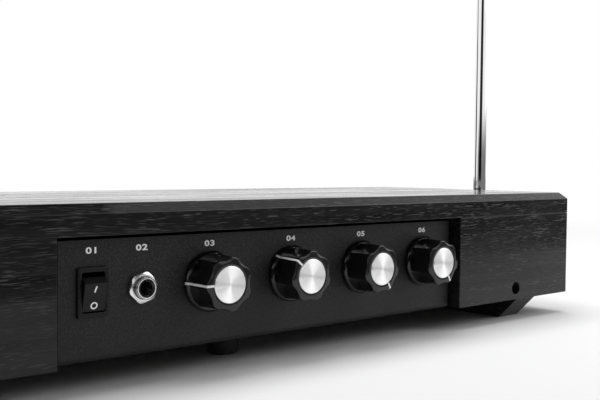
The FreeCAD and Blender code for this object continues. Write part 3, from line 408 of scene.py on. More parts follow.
LEGEND_HEIGHT = 2.5 * MM
LETTER_GAP = 1.12
STROKE_SPREAD = 0.11 * MM
LEGEND_STRETCH = 1.5
LEGEND_RISE = 17.2 * MM
INK = 0.06 * MM
DIGIT_SHARE = 0.7
panel_places = ["power_switch_body", "output_jack_nut", *(f"{name}_cap" for name in KNOBS)]
for number, over in enumerate(panel_places, start=1):
    letters = bpy.data.curves.new(f"legend_{number}", "FONT")
    letters.body = f"{number:02d}"
    letters.size = LEGEND_HEIGHT / DIGIT_SHARE
    letters.extrude = INK / 2
    letters.offset = STROKE_SPREAD
    letters.align_x = "CENTER"
    letters.align_y = "CENTER"
    letters.space_character = LETTER_GAP
    drawn = placed(f"legend_{number}", letters)
    bpy.context.view_layer.update()
    printed = bpy.data.meshes.new_from_object(drawn)
    bpy.data.objects.remove(drawn)
    at = Vector((middle(over).x, PANEL_Y - INK / 4, CONTROL_Z + LEGEND_RISE))
    printed.transform(Matrix.Diagonal((LEGEND_STRETCH, 1, 1, 1)))
    printed.transform(seat(*at, "-y"))
    to_piece(f"legend_{number}", printed, white_ink, slot="panel_paint", shade_angle=20)

# --- screws ---
# Cross-recess screws: black pan heads sunk in the wood, zinc-plated ones through the chassis, the
# stand flange and the circuit board.


ON_AXIS = 1e-9
TINY = 1e-7
ROUNDED_SHARE = 0.45


def softened(corners, radius, steps=3):
    """Round the corners of an outline by a radius, or by what its two sides leave room for."""
    rounded = []
    for index, corner in enumerate(corners):
        here = Vector(corner)
        before = Vector(corners[index - 1]) - here
        after = Vector(corners[(index + 1) % len(corners)]) - here
        if here.x < ON_AXIS or min(before.length, after.length) < TINY:
            rounded.append(here)
            continue
        start = here + before.normalized() * min(radius, before.length * ROUNDED_SHARE)
        end = here + after.normalized() * min(radius, after.length * ROUNDED_SHARE)
        for share in (number / steps for number in range(steps + 1)):
            rounded.append(start * (1 - share) ** 2 + here * 2 * share * (1 - share) + end * share**2)
    return rounded


def skinned(name, rings, where=None, capped=True):
    """Skin a row of rings, and cap both ends or join the last ring to the first."""
    form = bmesh.new()
    rings = [[form.verts.new(corner) for corner in ring] for ring in rings]
    for low, high in zip(rings, rings[1:] if capped else rings[1:] + rings[:1]):
        count = max(len(low), len(high))
        for number in range(count if count > 1 else 0):
            after = (number + 1) % count
            corners = [low[number % len(low)], low[after % len(low)]]
            corners += [high[after % len(high)], high[number % len(high)]]
            form.faces.new(list(dict.fromkeys(corners)))
    if capped:
        form.faces.new(rings[0])
        form.faces.new(rings[-1])
    bmesh.ops.remove_doubles(form, verts=form.verts, dist=TINY)
    bmesh.ops.recalc_face_normals(form, faces=form.faces)
    return hardened(form, name, where)


def turned(name, outline, steps=96, flats=None, where=None):
    """Turn an outline of (radius, height) corners about Z, cut to a hexagon where flats are given."""
    rings = []
    for radius, height in outline:
        ring = []
        for number in range(steps if radius > ON_AXIS else 1):
            angle = 2 * math.pi * number / steps
            reach = radius
            if flats:
                across = angle % (math.pi / 3) - math.pi / 6
                reach = min(radius, flats / 2 / math.cos(across))
            ring.append((reach * math.cos(angle), reach * math.sin(angle), height))
        rings.append(ring)
    return skinned(name, rings, where, capped=False)


black_oxide = mottled(
    "black_oxide", 0.38, (0.02,) * 3, (900.0, 3.0), tones=((0.35, 0.012), (0.7, 0.045)),
    gloss=(0.3, 0.7, 0.3, 0.48), bumps=(0.00003, 0.4), metallic=0.75,
)
zinc_plate = mottled(
    "zinc_plate", 0.3, (0.62, 0.63, 0.64), (700.0,), gloss=(0.3, 0.7, 0.22, 0.42),
    tones=((0.3, (0.5, 0.51, 0.52)), (0.7, (0.7, 0.7, 0.69))), bumps=(0.00002, 0.4), metallic=1.0,
)


def settled(worked):
    """Take the plain mesh that an object's modifiers make of it, and clear the object away."""
    bpy.context.view_layer.update()
    depsgraph = bpy.context.evaluated_depsgraph_get()
    made = bpy.data.meshes.new_from_object(worked.evaluated_get(depsgraph), depsgraph=depsgraph)
    bpy.data.objects.remove(worked)
    return made


DOME_SHARE, RIM_SHARE = 0.65, 0.96
ROOT_SHARE, CREST_SHARES = 0.8, (0.45, 0.55)
TAPER_SHARE, BLUNT_END = 2.2, 0.3 * MM
SLOT_LONG, SLOT_WIDE, SLOT_DEEP = 1.2, 0.34, 1.2


def screw_form(name, head_radius, head_height, shank_radius, length, pitch, pointed):
    """Make a pan-head screw along +Z, its head under z = 0, with a thread and a cross recess."""
    dome = [(head_radius * math.cos(a), -head_height * (1 - DOME_SHARE + DOME_SHARE * math.sin(a)))
            for a in (math.radians(10 * number) for number in range(9))]
    outline = [(0, -head_height), *reversed(dome), (head_radius, -0.1 * head_height)]
    outline += [(head_radius * RIM_SHARE, 0), (shank_radius, 0)]
    tip = shank_radius * TAPER_SHARE if pointed else BLUNT_END
    root = shank_radius * ROOT_SHARE
    for number in range(int((length - tip) / pitch)):
        start = (number + 0.15) * pitch
        outline += [(root, start), *((shank_radius, start + pitch * share) for share in CREST_SHARES)]
    outline += [(root, length - tip), (0, length)]
    cutter = bmesh.new()
    slot = (head_radius * SLOT_LONG, head_radius * SLOT_WIDE, head_height * SLOT_DEEP, 1)
    for angle in (0, math.pi / 2):
        shape = Matrix.Rotation(angle, 4, "Z") @ Matrix.Translation((0, 0, -head_height))
        bmesh.ops.create_cube(cutter, size=1, matrix=shape @ Matrix.Diagonal(slot))
    blank = placed(name, turned(name, outline, 24))
    tool = placed(f"{name}_recess", hardened(cutter, f"{name}_recess"))
    cut = blank.modifiers.new("recess", "BOOLEAN")
    cut.operation = "DIFFERENCE"
    cut.use_self = True
    cut.object = tool
    formed = settled(blank)
    bpy.data.objects.remove(tool)
    return formed


def new_rule(name, **sockets):
    """Start a Geometry Nodes tree with named inputs, and hand back the tree and its inputs."""
    tree = bpy.data.node_groups.new(name, "GeometryNodeTree")
    tree.interface.new_socket("Geometry", in_out="OUTPUT", socket_type="NodeSocketGeometry")
    for label, kind in {"Geometry": "Geometry", **sockets}.items():
        tree.interface.new_socket(label, in_out="INPUT", socket_type=f"NodeSocket{kind}")
    return tree, tree.nodes.new("NodeGroupInput").outputs


def finish_rule(tree, shape, finish):
    """End a tree with real geometry in one finish."""
    real = step(tree, "GeometryNodeRealizeInstances", {0: shape}).outputs[0]
    coloured = step(tree, "GeometryNodeSetMaterial", {"Geometry": real, "Material": finish})
    step(tree, "NodeGroupOutput", {0: coloured.outputs[0]})


def follow_rule(name, start, tree, **values):
    """Run a tree on a mesh with its inputs set, and hand back the plain mesh that it makes."""
    maker = placed(name, start)
    rule = maker.modifiers.new("rule", "NODES")
    rule.node_group = tree
    for item in tree.interface.items_tree:
        if item.in_out == "INPUT" and item.name in values:
            rule[item.identifier] = values[item.name]
    return settled(maker)


like_pieces, given = new_rule(
    "like_pieces", Model="Object", Facing="Rotation", Twist="Float", Finish="Material"
)
model_shape = step(like_pieces, "GeometryNodeObjectInfo", {"Object": given["Model"]}).outputs["Geometry"]
any_twist = step(like_pieces, "FunctionNodeRandomValue", {3: given["Twist"], "Seed": 7}, data_type="FLOAT")
twist = step(like_pieces, "ShaderNodeCombineXYZ", {"Z": any_twist.outputs[1]}).outputs[0]
twist = step(like_pieces, "FunctionNodeEulerToRotation", {0: twist}).outputs[0]
turned_in = step(like_pieces, "FunctionNodeRotateRotation", {0: given["Facing"], 1: twist})
turned_in.rotation_space = "LOCAL"
terms = {"Points": given["Geometry"], "Instance": model_shape, "Rotation": turned_in.outputs[0]}
set_down = step(like_pieces, "GeometryNodeInstanceOnPoints", terms).outputs[0]
finish_rule(like_pieces, set_down, given["Finish"])


def set_out(name, form, spots, angles, twist, finish):
    """Set a copy of one form at each spot, and hand back the mesh of them all."""
    points = bpy.data.meshes.new(name)
    points.from_pydata(spots, [], [])
    model = placed(f"{name}_model", form)
    made = follow_rule(name, points, like_pieces, Model=model, Facing=angles, Twist=twist, Finish=finish)
    bpy.data.objects.remove(model)
    return made


def separate_boxes(node):
    """Find the box of each separate solid in a node."""
    form = bmesh.new()
    form.from_mesh(nodes[node].data)
    bmesh.ops.remove_doubles(form, verts=form.verts, dist=SAME_SPOT)
    left = set(form.verts)
    boxes = []
    while left:
        found = [left.pop()]
        for vert in found:
            for edge in vert.link_edges:
                other = edge.other_vert(vert)
                if other in left:
                    left.remove(other)
                    found.append(other)
        low = Vector(min(vert.co[axis] for vert in found) for axis in range(3))
        high = Vector(max(vert.co[axis] for vert in found) for axis in range(3))
        boxes.append((low, high))
    form.free()
    return sorted(boxes, key=lambda pair: tuple(round(number, 4) for number in pair[0]))


ANY_TURN = 90.0


def drive(name, node, form, facing, seats, finish, slot):
    """Drive a screw at each seat of one node, its recess turned at random."""
    made = set_out(name, form, seats, FACING[facing].to_euler(), ANY_TURN, finish)
    piece = to_piece(name, made, finish, slot=slot)
    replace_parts(piece, node)


WOOD_SCREW = {"head_radius": 3.2 * MM, "head_height": 2.6 * MM, "shank_radius": 2.0 * MM,
              "pitch": 1.8 * MM, "pointed": True}
front_seats = []
runner_seats = []
for low, high in separate_boxes("wood_screws"):
    centre = (low + high) / 2
    if high.y - low.y > high.z - low.z:
        front_seats.append((centre.x, low.y + WOOD_SCREW["head_height"], centre.z))
        front_length = high.y - front_seats[-1][1]
    else:
        runner_seats.append((centre.x, centre.y, low.z + WOOD_SCREW["head_height"]))
        runner_length = high.z - runner_seats[-1][2]
front_form = screw_form("front_screw", length=front_length, **WOOD_SCREW)
runner_form = screw_form("runner_screw", length=runner_length, **WOOD_SCREW)
drive("front_screws", "wood_screws", front_form, "+y", front_seats, black_oxide, "black_screw")
drive("runner_screws", "wood_screws", runner_form, "+z", runner_seats, black_oxide, "black_screw")

METAL_SCREWS = {
    "chassis_screws": (3.4 * MM, 2.2 * MM, 1.75 * MM, 1.4 * MM, "+z", True),
    "flange_screws": (3.5 * MM, 2.6 * MM, 2.0 * MM, 0.8 * MM, "+z", False),
    "board_screws": (2.7 * MM, 1.8 * MM, 1.5 * MM, 0.6 * MM, "-z", False),
}
for node, (head_radius, head_height, shank_radius, pitch, facing, pointed) in METAL_SCREWS.items():
    seats = []
    for low, high in separate_boxes(node):
        seat_z = low.z + head_height if facing == "+z" else high.z - head_height
        seats.append(((low.x + high.x) / 2, (low.y + high.y) / 2, seat_z))
    length = high.z - low.z - head_height
    form = screw_form(node, head_radius, head_height, shank_radius, length, pitch, pointed)
    drive(f"{node}_driven", node, form, facing, seats, zinc_plate, "zinc_steel")

# --- rubber feet and stand flange ---
# Two moulded rubber feet pressed into the bottom plate, and a cast flange threaded for a microphone
# stand, held by four machine screws.

foot_rubber = mottled(
    "foot_rubber", 0.72, (0.02,) * 3, (380.0, 3.0), tones=((0.35, 0.012), (0.7, 0.032)),
    gloss=(0.3, 0.7, 0.6, 0.82), bumps=(0.00006, 0.6), bump_grain=1500.0, specular=0.3,
)


def scaled(outline):
    """Turn an outline from millimetres to metres."""
    return [(radius * MM, height * MM) for radius, height in outline]


def lathe(name, outline, finish, where, steps=96, flats=0.0, **seating):
    """Turn a piece from an outline in millimetres, seat it and put it on its body."""
    return to_piece(name, turned(name, scaled(outline), steps, flats * MM, where), finish, **seating)


FOOT = [(0, -13.2), (6.6, -13.2), (8.0, -12.6), (8.1, -11.6), (8.8, -0.25), (8.4, 0), (3.0, 0), (3.0, 1.6),
        (3.9, 1.6), (3.0, 4.6), (0, 4.6)]
FOOT_CORNER = 0.5
for name in ("rubber_foot_front", "rubber_foot_back"):
    where = seat(middle(name).x, middle(name).y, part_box("chassis")[0].z)
    foot = lathe(f"{name}_moulded", softened(FOOT, FOOT_CORNER), foot_rubber, where, 72, slot="rubber")
    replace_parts(foot, name)

cast_zinc = mottled(
    "cast_zinc", 0.42, (0.5, 0.5, 0.51), (420.0, 4.0, 0.65), tones=((0.3, 0.38), (0.75, 0.56)),
    gloss=(0.3, 0.7, 0.32, 0.55), bumps=(0.00008, 0.6), metallic=1.0,
)

STAND_THREADS, STAND_PITCH = 13, 0.94
STAND_BORE, STAND_GROOVE = 7.43, 7.9
stand = [(7.55, 0.3), (8.3, 0), (11.4, 0), (12, 0.6), (12, 10.6), (26, 10.6), (26, 13.2), (25.6, 13.6)]
stand += [(STAND_BORE, 13.6)]
for number in reversed(range(STAND_THREADS)):
    groove = 0.7 + number * STAND_PITCH
    stand += [(STAND_BORE, groove + 0.7), (STAND_GROOVE, groove + 0.45)]
    stand += [(STAND_GROOVE, groove + 0.25), (STAND_BORE, groove)]
flange = lathe("stand_flange_cast", stand, cast_zinc, FACING["+z"], slot="zinc_steel")
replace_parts(flange, "stand_flange")

# --- knobs, caps and potentiometers ---
# Four black phenolic knobs: a skirt, seven milled flutes, a white-filled line for a pointer and a
# spun aluminium cap let into the front. Each is pressed on the shaft of a potentiometer.

knob_plastic = mottled(
    "knob_plastic", 0.1, (0.006,) * 3, (260.0, 3.0), tones=((0.3, 0.004), (0.75, 0.009)),
    gloss=(0.3, 0.7, 0.07, 0.14), bumps=(0.00002, 0.3), bump_grain=900.0,
)

milled_flutes, given = new_rule(
    "milled_flutes", Flutes="Float", Cutter="Float", Depth="Float", Crest="Float", Start="Float",
    Front="Float", Edge="Float", Inner="Float", Softness="Float", Finish="Material",
)
spot = step(milled_flutes, "GeometryNodeInputPosition").outputs[0]
split = step(milled_flutes, "ShaderNodeSeparateXYZ", {0: spot}).outputs


def mill(operation, *terms):
    """Add one step of arithmetic to the flutes' rule."""
    return reckon(milled_flutes, operation, *terms)


def squared(value):
    """Square one value in the flutes' rule."""
    return mill("MULTIPLY", value, value)


radius = mill("SQRT", mill("ADD", squared(split[0]), squared(split[1])))
around = mill("ARCTAN2", split[0], mill("MULTIPLY", split[1], -1.0))
half_pitch = mill("DIVIDE", math.pi, given["Flutes"])
around = mill("WRAP", around, half_pitch, mill("MULTIPLY", half_pitch, -1.0))
cutter_axis = mill("SUBTRACT", mill("ADD", given["Crest"], given["Cutter"]), given["Depth"])
aside = mill("MULTIPLY", cutter_axis, mill("SINE", around))
chord = mill("SQRT", mill("MAXIMUM", mill("SUBTRACT", squared(given["Cutter"]), squared(aside)), 0.0))
flute = mill("SUBTRACT", mill("MULTIPLY", cutter_axis, mill("COSINE", around)), chord)
milled = mill("SMOOTH_MIN", radius, flute, given["Softness"])
climb = mill("SUBTRACT", split[2], mill("SUBTRACT", given["Front"], given["Edge"]))
climb = mill("MAXIMUM", climb, 0.0)
rounding = mill("SQRT", mill("MAXIMUM", mill("SUBTRACT", squared(given["Edge"]), squared(climb)), 0.0))
rounding = mill("SUBTRACT", given["Edge"], rounding)
share = mill("DIVIDE", mill("SUBTRACT", milled, rounding), mill("MAXIMUM", radius, TINY))
terms = {"X": mill("MULTIPLY", split[0], share), "Y": mill("MULTIPLY", split[1], share), "Z": split[2]}
moved = step(milled_flutes, "ShaderNodeCombineXYZ", terms).outputs[0]
above_skirt = mill("GREATER_THAN", split[2], given["Start"])
on_grip = mill("MULTIPLY", above_skirt, mill("GREATER_THAN", radius, given["Inner"]))
terms = {"Geometry": given["Geometry"], "Selection": on_grip, "Position": moved}
fluted = step(milled_flutes, "GeometryNodeSetPosition", terms).outputs[0]
finish_rule(milled_flutes, fluted, given["Finish"])

SKIRT = [(6.4, 0.9), (13.7, 0.9), (14.0, 1.2), (14.0, 2.0), (13.93, 2.18), (13.05, 3.25), (12.99, 3.3)]
GRIP_START, GRIP_FRONT = 3.3, 16.3
GRIP_BASE, GRIP_CREST = 13.0, 12.3
FRONT_EDGE = 0.5
rises = [3.31, 3.5, 5.0, 7.0, 9.0, 11.0, 13.0, 14.6, 15.4, 15.8, 15.92, 16.04, 16.15, 16.24, 16.29, 16.3]
GRIP = [(GRIP_BASE + (GRIP_CREST - GRIP_BASE) * (rise - GRIP_START) / (GRIP_FRONT - GRIP_START), rise)
        for rise in rises]
FRONT = [(10.9, 16.41), (9.8, 16.46), (8.65, 16.5), (8.5, 16.45), (8.45, 16.3), (8.45, 15.7), (0, 15.7)]
BORE = [(0, 13.5), (3.02, 13.5), (3.02, 5.2), (6.4, 5.2)]
CAP = [(0, 15.72), (8.4, 15.72), (8.4, 16.45), (8.22, 16.68), (8.0, 16.7), (4.0, 16.63), (0, 16.6)]
CAP_CORNER = 0.12
POINTER_WIDTH = 1.05
rounded_front = [(GRIP_CREST - FRONT_EDGE * (1 - math.cos(a)), GRIP_FRONT - FRONT_EDGE * (1 - math.sin(a)))
                 for a in (math.radians(15 * number) for number in range(7))]
POINTER = [(13.98, 1.25), (14.0, 2.0), (13.93, 2.18), (13.05, 3.25), (12.97, 3.6), *rounded_front,
           (10.4, 16.41), (9.8, 16.46), (8.55, 16.5)]
INK_OUT, INK_IN = 0.045, -0.12
REST = {"volume": -90.0, "pitch": -48.0, "waveform": 150.0, "brightness": 150.0}


def pointer_mesh(name, where):
    """Fill the pointer's line: a thin strip that follows the knob's outline along +Y."""
    half = POINTER_WIDTH / 2 * MM
    rings = []
    for index, corner in enumerate(POINTER):
        run = Vector(POINTER[min(index + 1, len(POINTER) - 1)]) - Vector(POINTER[max(index - 1, 0)])
        out = Vector((run.y, -run.x)).normalized()
        top, bottom = ((Vector(corner) + out * off) * MM for off in (INK_OUT, INK_IN))
        rings.append([(-half, *top), (half, *top), (half, *bottom), (-half, *bottom)])
    return skinned(name, rings, where)


def spun_aluminium(name, centre):
    """Make bright aluminium with the fine rings that spinning leaves about a cap's centre."""
    finish, tree, shader, place = new_finish(name, 0.32, (0.95, 0.95, 0.95), metallic=1.0)
    shader.inputs["Anisotropic"].default_value = 0.97
    shader.inputs["Anisotropic Rotation"].default_value = 0.25
    tangent = step(tree, "ShaderNodeTangent", direction_type="RADIAL", axis="Y")
    tree.links.new(tangent.outputs[0], shader.inputs["Tangent"])
    centred = step(tree, "ShaderNodeMapping", {"Vector": place, "Location": tuple(-centre)}).outputs[0]
    flat = vectors(tree, "MULTIPLY", centred, (1, 0, 1))
    terms = {"W": vectors(tree, "LENGTH", flat, out="Value"), "Scale": 5200.0, "Detail": 2.0}
    rings = step(tree, "ShaderNodeTexNoise", terms, noise_dimensions="1D").outputs["Fac"]
    tree.links.new(between(tree, rings, 0.3, 0.7, 0.30, 0.34), shader.inputs["Roughness"])
    tree.links.new(shades(tree, rings, (0.3, 0.96), (0.6, 0.99)), shader.inputs["Base Color"])
    relief(tree, shader, rings, 0.00001, 0.25)
    return finish


for name in KNOBS:
    centre = middle(f"{name}_cap")
    body = f"{name}_control"
    where = seat(centre.x, PANEL_Y, centre.z, "-y", -REST[name])
    blank = turned(f"{name}_blank", scaled([*SKIRT, *GRIP, *FRONT, *BORE]), 168)
    made = follow_rule(
        f"{name}_blank", blank, milled_flutes, Flutes=7.0, Cutter=12.0 * MM, Depth=1.2 * MM,
        Crest=GRIP_CREST * MM, Start=(GRIP_START + 0.005) * MM, Front=GRIP_FRONT * MM,
        Edge=FRONT_EDGE * MM, Inner=9.9 * MM, Softness=0.45 * MM, Finish=knob_plastic,
    )
    made.transform(where)
    grip = to_piece(f"{name}_knob_milled", made, knob_plastic, body, "knob_plastic", 38)
    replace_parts(grip, f"{name}_knob")
    line = pointer_mesh(f"{name}_pointer", where)
    to_piece(f"{name}_pointer", line, white_ink, body, "knob_plastic", 40)
    spun = spun_aluminium(f"spun_{name}", centre)
    disc = lathe(f"{name}_cap_spun", softened(CAP, CAP_CORNER), spun, where, 128, body=body,
                 slot="spun_aluminium", shade_angle=25)
    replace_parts(disc, f"{name}_cap")

pot_metal = mottled(
    "pot_metal", 0.33, (0.6, 0.6, 0.58), ((300.0, 2400.0, 300.0), 3.0), tones=((0.3, 0.46), (0.7, 0.64)),
    gloss=(0.3, 0.7, 0.25, 0.45), bumps=(0.00002, 0.4), metallic=1.0,
)
dress(pot_metal, *(f"{name}_{part}" for name in KNOBS for part in ("pot", "shaft")))
nickel = mottled(
    "nickel", 0.22, (0.86, 0.86, 0.84), ((1800.0, 500.0, 1800.0), 3.0), tones=((0.3, 0.8), (0.7, 0.9)),
    gloss=(0.3, 0.7, 0.16, 0.28), bumps=(0.00001, 0.3), metallic=1.0,
)
CORNER_LEFT, FLAT_LEFT = 0.94, 0.93
CHAMFER = math.radians(30)
BORE_EDGE = 0.25
MARKS = 6


def hex_outline(flats, low, high, bore):
    """Draw half of a hexagonal nut, its corners turned off at both ends."""
    corner = flats / math.sqrt(3) * CORNER_LEFT
    start = flats / 2 * FLAT_LEFT
    shares = [mark / MARKS for mark in range(MARKS + 1)]
    rise = (corner - start) * math.tan(CHAMFER)
    shoulder = [(start + (corner - start) * share, rise * share) for share in shares]
    outline = [(bore, high - BORE_EDGE), (bore + BORE_EDGE, high)]
    outline += [(radius, high - drop) for radius, drop in shoulder]
    outline += [(radius, low + drop) for radius, drop in reversed(shoulder)]
    return outline + [(bore + BORE_EDGE, low), (bore, low + BORE_EDGE)]


POT_NUT = 10.0
nut_outline = scaled(hex_outline(POT_NUT, 0.0, 2.4, 3.55))
nuts = bmesh.new()
for name in KNOBS:
    centre = middle(f"{name}_cap")
    where = seat(centre.x, PANEL_Y, centre.z, "-y")
    nuts.from_mesh(turned("pot_nut", nut_outline, 48, POT_NUT * MM, where))
nut_mesh = hardened(nuts, "pot_nuts_chamfered")
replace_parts(to_piece("pot_nuts_chamfered", nut_mesh, nickel, slot="nickel"), "pot_nuts")

# --- rocker switch ---
# A snap-in rocker switch moulded in black nylon: a bezel with a rounded window, and a rocker marked
# with a white I and O that are pad-printed in their moulded places.

switch_plastic = mottled(
    "switch_plastic", 0.3, (0.009,) * 3, (2300.0,), tones=((0.3, 0.006), (0.7, 0.013)),
    gloss=(0.3, 0.7, 0.24, 0.38), bumps=(0.00003, 0.4), specular=0.18,
)


def lofted(name, loops, where, arc=6):
    """Skin a row of rounded rectangles: (half width, half height, corner radius, z) each."""
    rings = []
    for half_width, half_height, corner, rise in loops:
        ring = []
        for quarter, (x_sign, y_sign) in enumerate(((1, 1), (-1, 1), (-1, -1), (1, -1))):
            for number in range(arc + 1):
                angle = math.pi / 2 * (quarter + number / arc)
                x = x_sign * (half_width - corner) + corner * math.cos(angle)
                y = y_sign * (half_height - corner) + corner * math.sin(angle)
                ring.append((x * MM, y * MM, rise * MM))
        rings.append(ring)
    return skinned(name, rings, where)


SWITCH_BODY = [
    (6.4, 9.6, 0.5, -15.0), (6.4, 9.6, 0.5, 0.02), (7.05, 10.5, 0.9, 0.02), (7.05, 10.5, 0.9, 1.1),
    (6.98, 10.43, 0.85, 1.4), (6.75, 10.2, 0.8, 1.62), (6.5, 9.95, 0.8, 1.7), (5.45, 8.7, 1.0, 1.7),
    (5.28, 8.53, 0.95, 1.62), (5.2, 8.45, 0.9, 1.45), (5.2, 8.45, 0.9, -2.0), (5.2, 9.0, 0.3, -2.05),
    (5.2, 9.0, 0.3, -13.8),
]
switch_centre = middle("power_switch_body")
mesh = lofted("switch_housing", SWITCH_BODY, seat(switch_centre.x, PANEL_Y, CONTROL_Z, "-y"))
housing = to_piece("switch_housing", mesh, switch_plastic, slot="switch_plastic", shade_angle=28)
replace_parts(housing, "power_switch_body")
ROCKER_EDGE = 0.35 * MM
RIDGE = math.radians(12)
rocker = eased("power_switch_rocker", ROCKER_EDGE, switch_plastic)
rocker.modifiers["eased_edges"].angle_limit = RIDGE

PIVOT_Y = PANEL_Y + 5.1 * MM
FACE_OUT = 8.0 * MM
MARK_OUT = 3.6 * MM
TILT, LEAN = math.radians(14.0), math.radians(16.0)
face = Matrix.Translation((switch_centre.x, PIVOT_Y, CONTROL_Z)) @ Matrix.Rotation(TILT, 4, "X")
face = face @ Matrix.Translation((0, -FACE_OUT, 0)) @ FACING["-y"]
leaning = face @ Matrix.Translation((0, MARK_OUT, 0)) @ Matrix.Rotation(-LEAN, 4, "Z")
on_mark = lofted("mark_on", [(0.325, 1.4, 0.1, -0.1), (0.325, 1.4, 0.1, 0.05)], leaning, 2)
to_piece("mark_on", on_mark, white_ink, "power_rocker", "switch_plastic")
RING = [(0.98, -0.1), (0.98, 0.05), (1.6, 0.05), (1.6, -0.1)]
lathe("mark_off", RING, white_ink, face @ Matrix.Translation((0, -MARK_OUT, 0)), 48,
      body="power_rocker", slot="switch_plastic")

brass = mottled(
    "terminal_brass", 0.3, (0.7, 0.6, 0.36), (500.0, 3.0), gloss=(0.3, 0.7, 0.24, 0.44),
    tones=((0.3, (0.5, 0.4, 0.2)), (0.7, (0.78, 0.68, 0.42))), metallic=1.0,
)
dress(brass, "power_switch_terminals")

# --- output jack ---
# A quarter-inch jack: a nickel-plated threaded bushing with a turned rim, its hexagonal nut, and a
# black nylon body behind the panel.

jack_centre = middle("output_jack_nut")
dress(switch_plastic, "output_jack")


def threaded(root, crest, low, high, pitch):
    """Draw a run of thread, from low to high."""
    outline = []
    for number in range(int((high - low) / pitch)):
        start = low + number * pitch
        outline += [(root, start), (root, start + pitch * 0.15), (crest, start + pitch * 0.5)]
        outline += [(crest, start + pitch * 0.6)]
    return outline


BUSHING = [(3.2, -3.0), (4.62, -3.0), (4.62, 0.1), *threaded(4.6, 4.79, 0.1, 3.9, 0.75), (4.6, 3.9)]
BUSHING += [(4.79, 4.0), (4.79, 4.35), (4.5, 4.65), (4.05, 4.65), (3.95, 4.5), (3.75, 4.42), (3.6, 4.42)]
BUSHING += [(3.28, 4.1), (3.28, 0.0), (3.2, -0.2)]
JACK_NUT = 12.7
NUT_TURN = 15.0
where = seat(jack_centre.x, PANEL_Y, CONTROL_Z, "-y")
lathe("jack_bushing", BUSHING, nickel, where, slot="nickel", shade_angle=35)
where = seat(jack_centre.x, PANEL_Y, CONTROL_Z, "-y", NUT_TURN)
jack_nut = lathe("jack_nut", hex_outline(JACK_NUT, 0.0, 2.4, 4.81), nickel, where, flats=JACK_NUT,
                 slot="nickel", shade_angle=20)
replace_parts(jack_nut, "output_jack_nut")

# --- circuit board and its parts ---
# A green glass-epoxy board on six standoffs, with chokes, tuning cans, amplifier chips, electrolytic
# capacitors and two regulators, all soldered by hand.

laminate, tree, shader, place = new_finish("board_laminate", 0.35, (0.02, 0.12, 0.05))
weave = stretched(tree, place, 900.0)
tracks = stretched(tree, place, (60.0, 160.0, 60.0), 0.0)
tracks = between(tree, reckon(tree, "PINGPONG", tracks, 0.04), 0.012, 0.018)
copper_and_mask = shades(tree, tracks, (0.2, (0.012, 0.10, 0.04)), (0.8, (0.03, 0.17, 0.07)))
tree.links.new(copper_and_mask, shader.inputs["Base Color"])
tree.links.new(between(tree, weave, 0.3, 0.7, 0.28, 0.42), shader.inputs["Roughness"])
relief(tree, shader, tracks, 0.00004, 0.6)
dress(laminate, "circuit_board")
dress(zinc_plate, "board_standoffs")

ferrite = mottled("choke_bobbin", 0.5, (0.05, 0.045, 0.04), (600.0,), tones=((0.3, 0.03), (0.7, 0.07)))
dress(ferrite, "antenna_coils")
ENAMEL = ((0.3, (0.6, 0.22, 0.08)), (0.7, (0.8, 0.38, 0.18)))
coil_copper = mottled("coil_copper", 0.28, (0.75, 0.33, 0.15), (700.0,), tones=ENAMEL, metallic=1.0)

wound_wire, given = new_rule(
    "wound_wire", Turns="Float", Radius="Float", Height="Float", Wire="Float", Finish="Material"
)
terms = {"Resolution": 24, "Rotations": given["Turns"], "Start Radius": given["Radius"]}
terms.update({"End Radius": given["Radius"], "Height": given["Height"]})
spiral = step(wound_wire, "GeometryNodeCurveSpiral", terms).outputs[0]
section = step(wound_wire, "GeometryNodeCurvePrimitiveCircle", {"Resolution": 6, "Radius": given["Wire"]})
terms = {"Curve": spiral, "Profile Curve": section.outputs[0], "Fill Caps": True}
wire = step(wound_wire, "GeometryNodeCurveToMesh", terms).outputs[0]
coils = step(wound_wire, "GeometryNodeInstanceOnPoints", {"Points": given["Geometry"], "Instance": wire})
finish_rule(wound_wire, coils.outputs[0], given["Finish"])
WINDING_START = 3.0 * MM
starts = bpy.data.meshes.new("choke_windings")
spots = [(*((low + high) / 2).xy, low.z + WINDING_START) for low, high in separate_boxes("antenna_coils")]
starts.from_pydata(spots, [], [])
made = follow_rule("choke_windings", starts, wound_wire, Turns=16.0, Radius=4.55 * MM,
                   Height=7.0 * MM, Wire=0.2 * MM, Finish=coil_copper)
to_piece("choke_windings", made, coil_copper, slot="coil_copper", shade_angle=None)
dress(zinc_plate, "tuning_coils")

chip_black = mottled("chip_moulding", 0.5, (0.012,) * 3, (2600.0,), gloss=(0.3, 0.7, 0.42, 0.6))
dress(chip_black, "integrated_circuits", "regulators")
PIN_WIDE, PIN_OUT, PIN_TALL = 0.5 * MM, 0.7 * MM, 1.8 * MM
pin_form = bmesh.new()
pin_place = Matrix.Translation((0, PIN_OUT / 2, PIN_TALL / 2))
pin_place = pin_place @ Matrix.Diagonal((PIN_WIDE, PIN_OUT, PIN_TALL, 1))
bmesh.ops.create_cube(pin_form, size=1, matrix=pin_place)
bmesh.ops.bevel(pin_form, geom=pin_form.edges, offset=0.08 * MM, segments=1, affect="EDGES")
pin_mesh = hardened(pin_form, "chip_pin")
PIN_PITCH = 2.54 * MM
PINS_A_SIDE = 7
back_row = []
front_row = []
for low, high in separate_boxes("integrated_circuits"):
    for index in range(PINS_A_SIDE):
        x = (low.x + high.x) / 2 + (index - PINS_A_SIDE // 2) * PIN_PITCH
        back_row.append((x, high.y, low.z))
        front_row.append((x, low.y, low.z))
for row, spots, spin in (("chip_pins_back", back_row, 0.0), ("chip_pins_front", front_row, math.pi)):
    made = set_out(row, pin_mesh, spots, Matrix.Rotation(spin, 3, "Z").to_euler(), 0.0, zinc_plate)
    to_piece(row, made, zinc_plate, slot="zinc_steel")

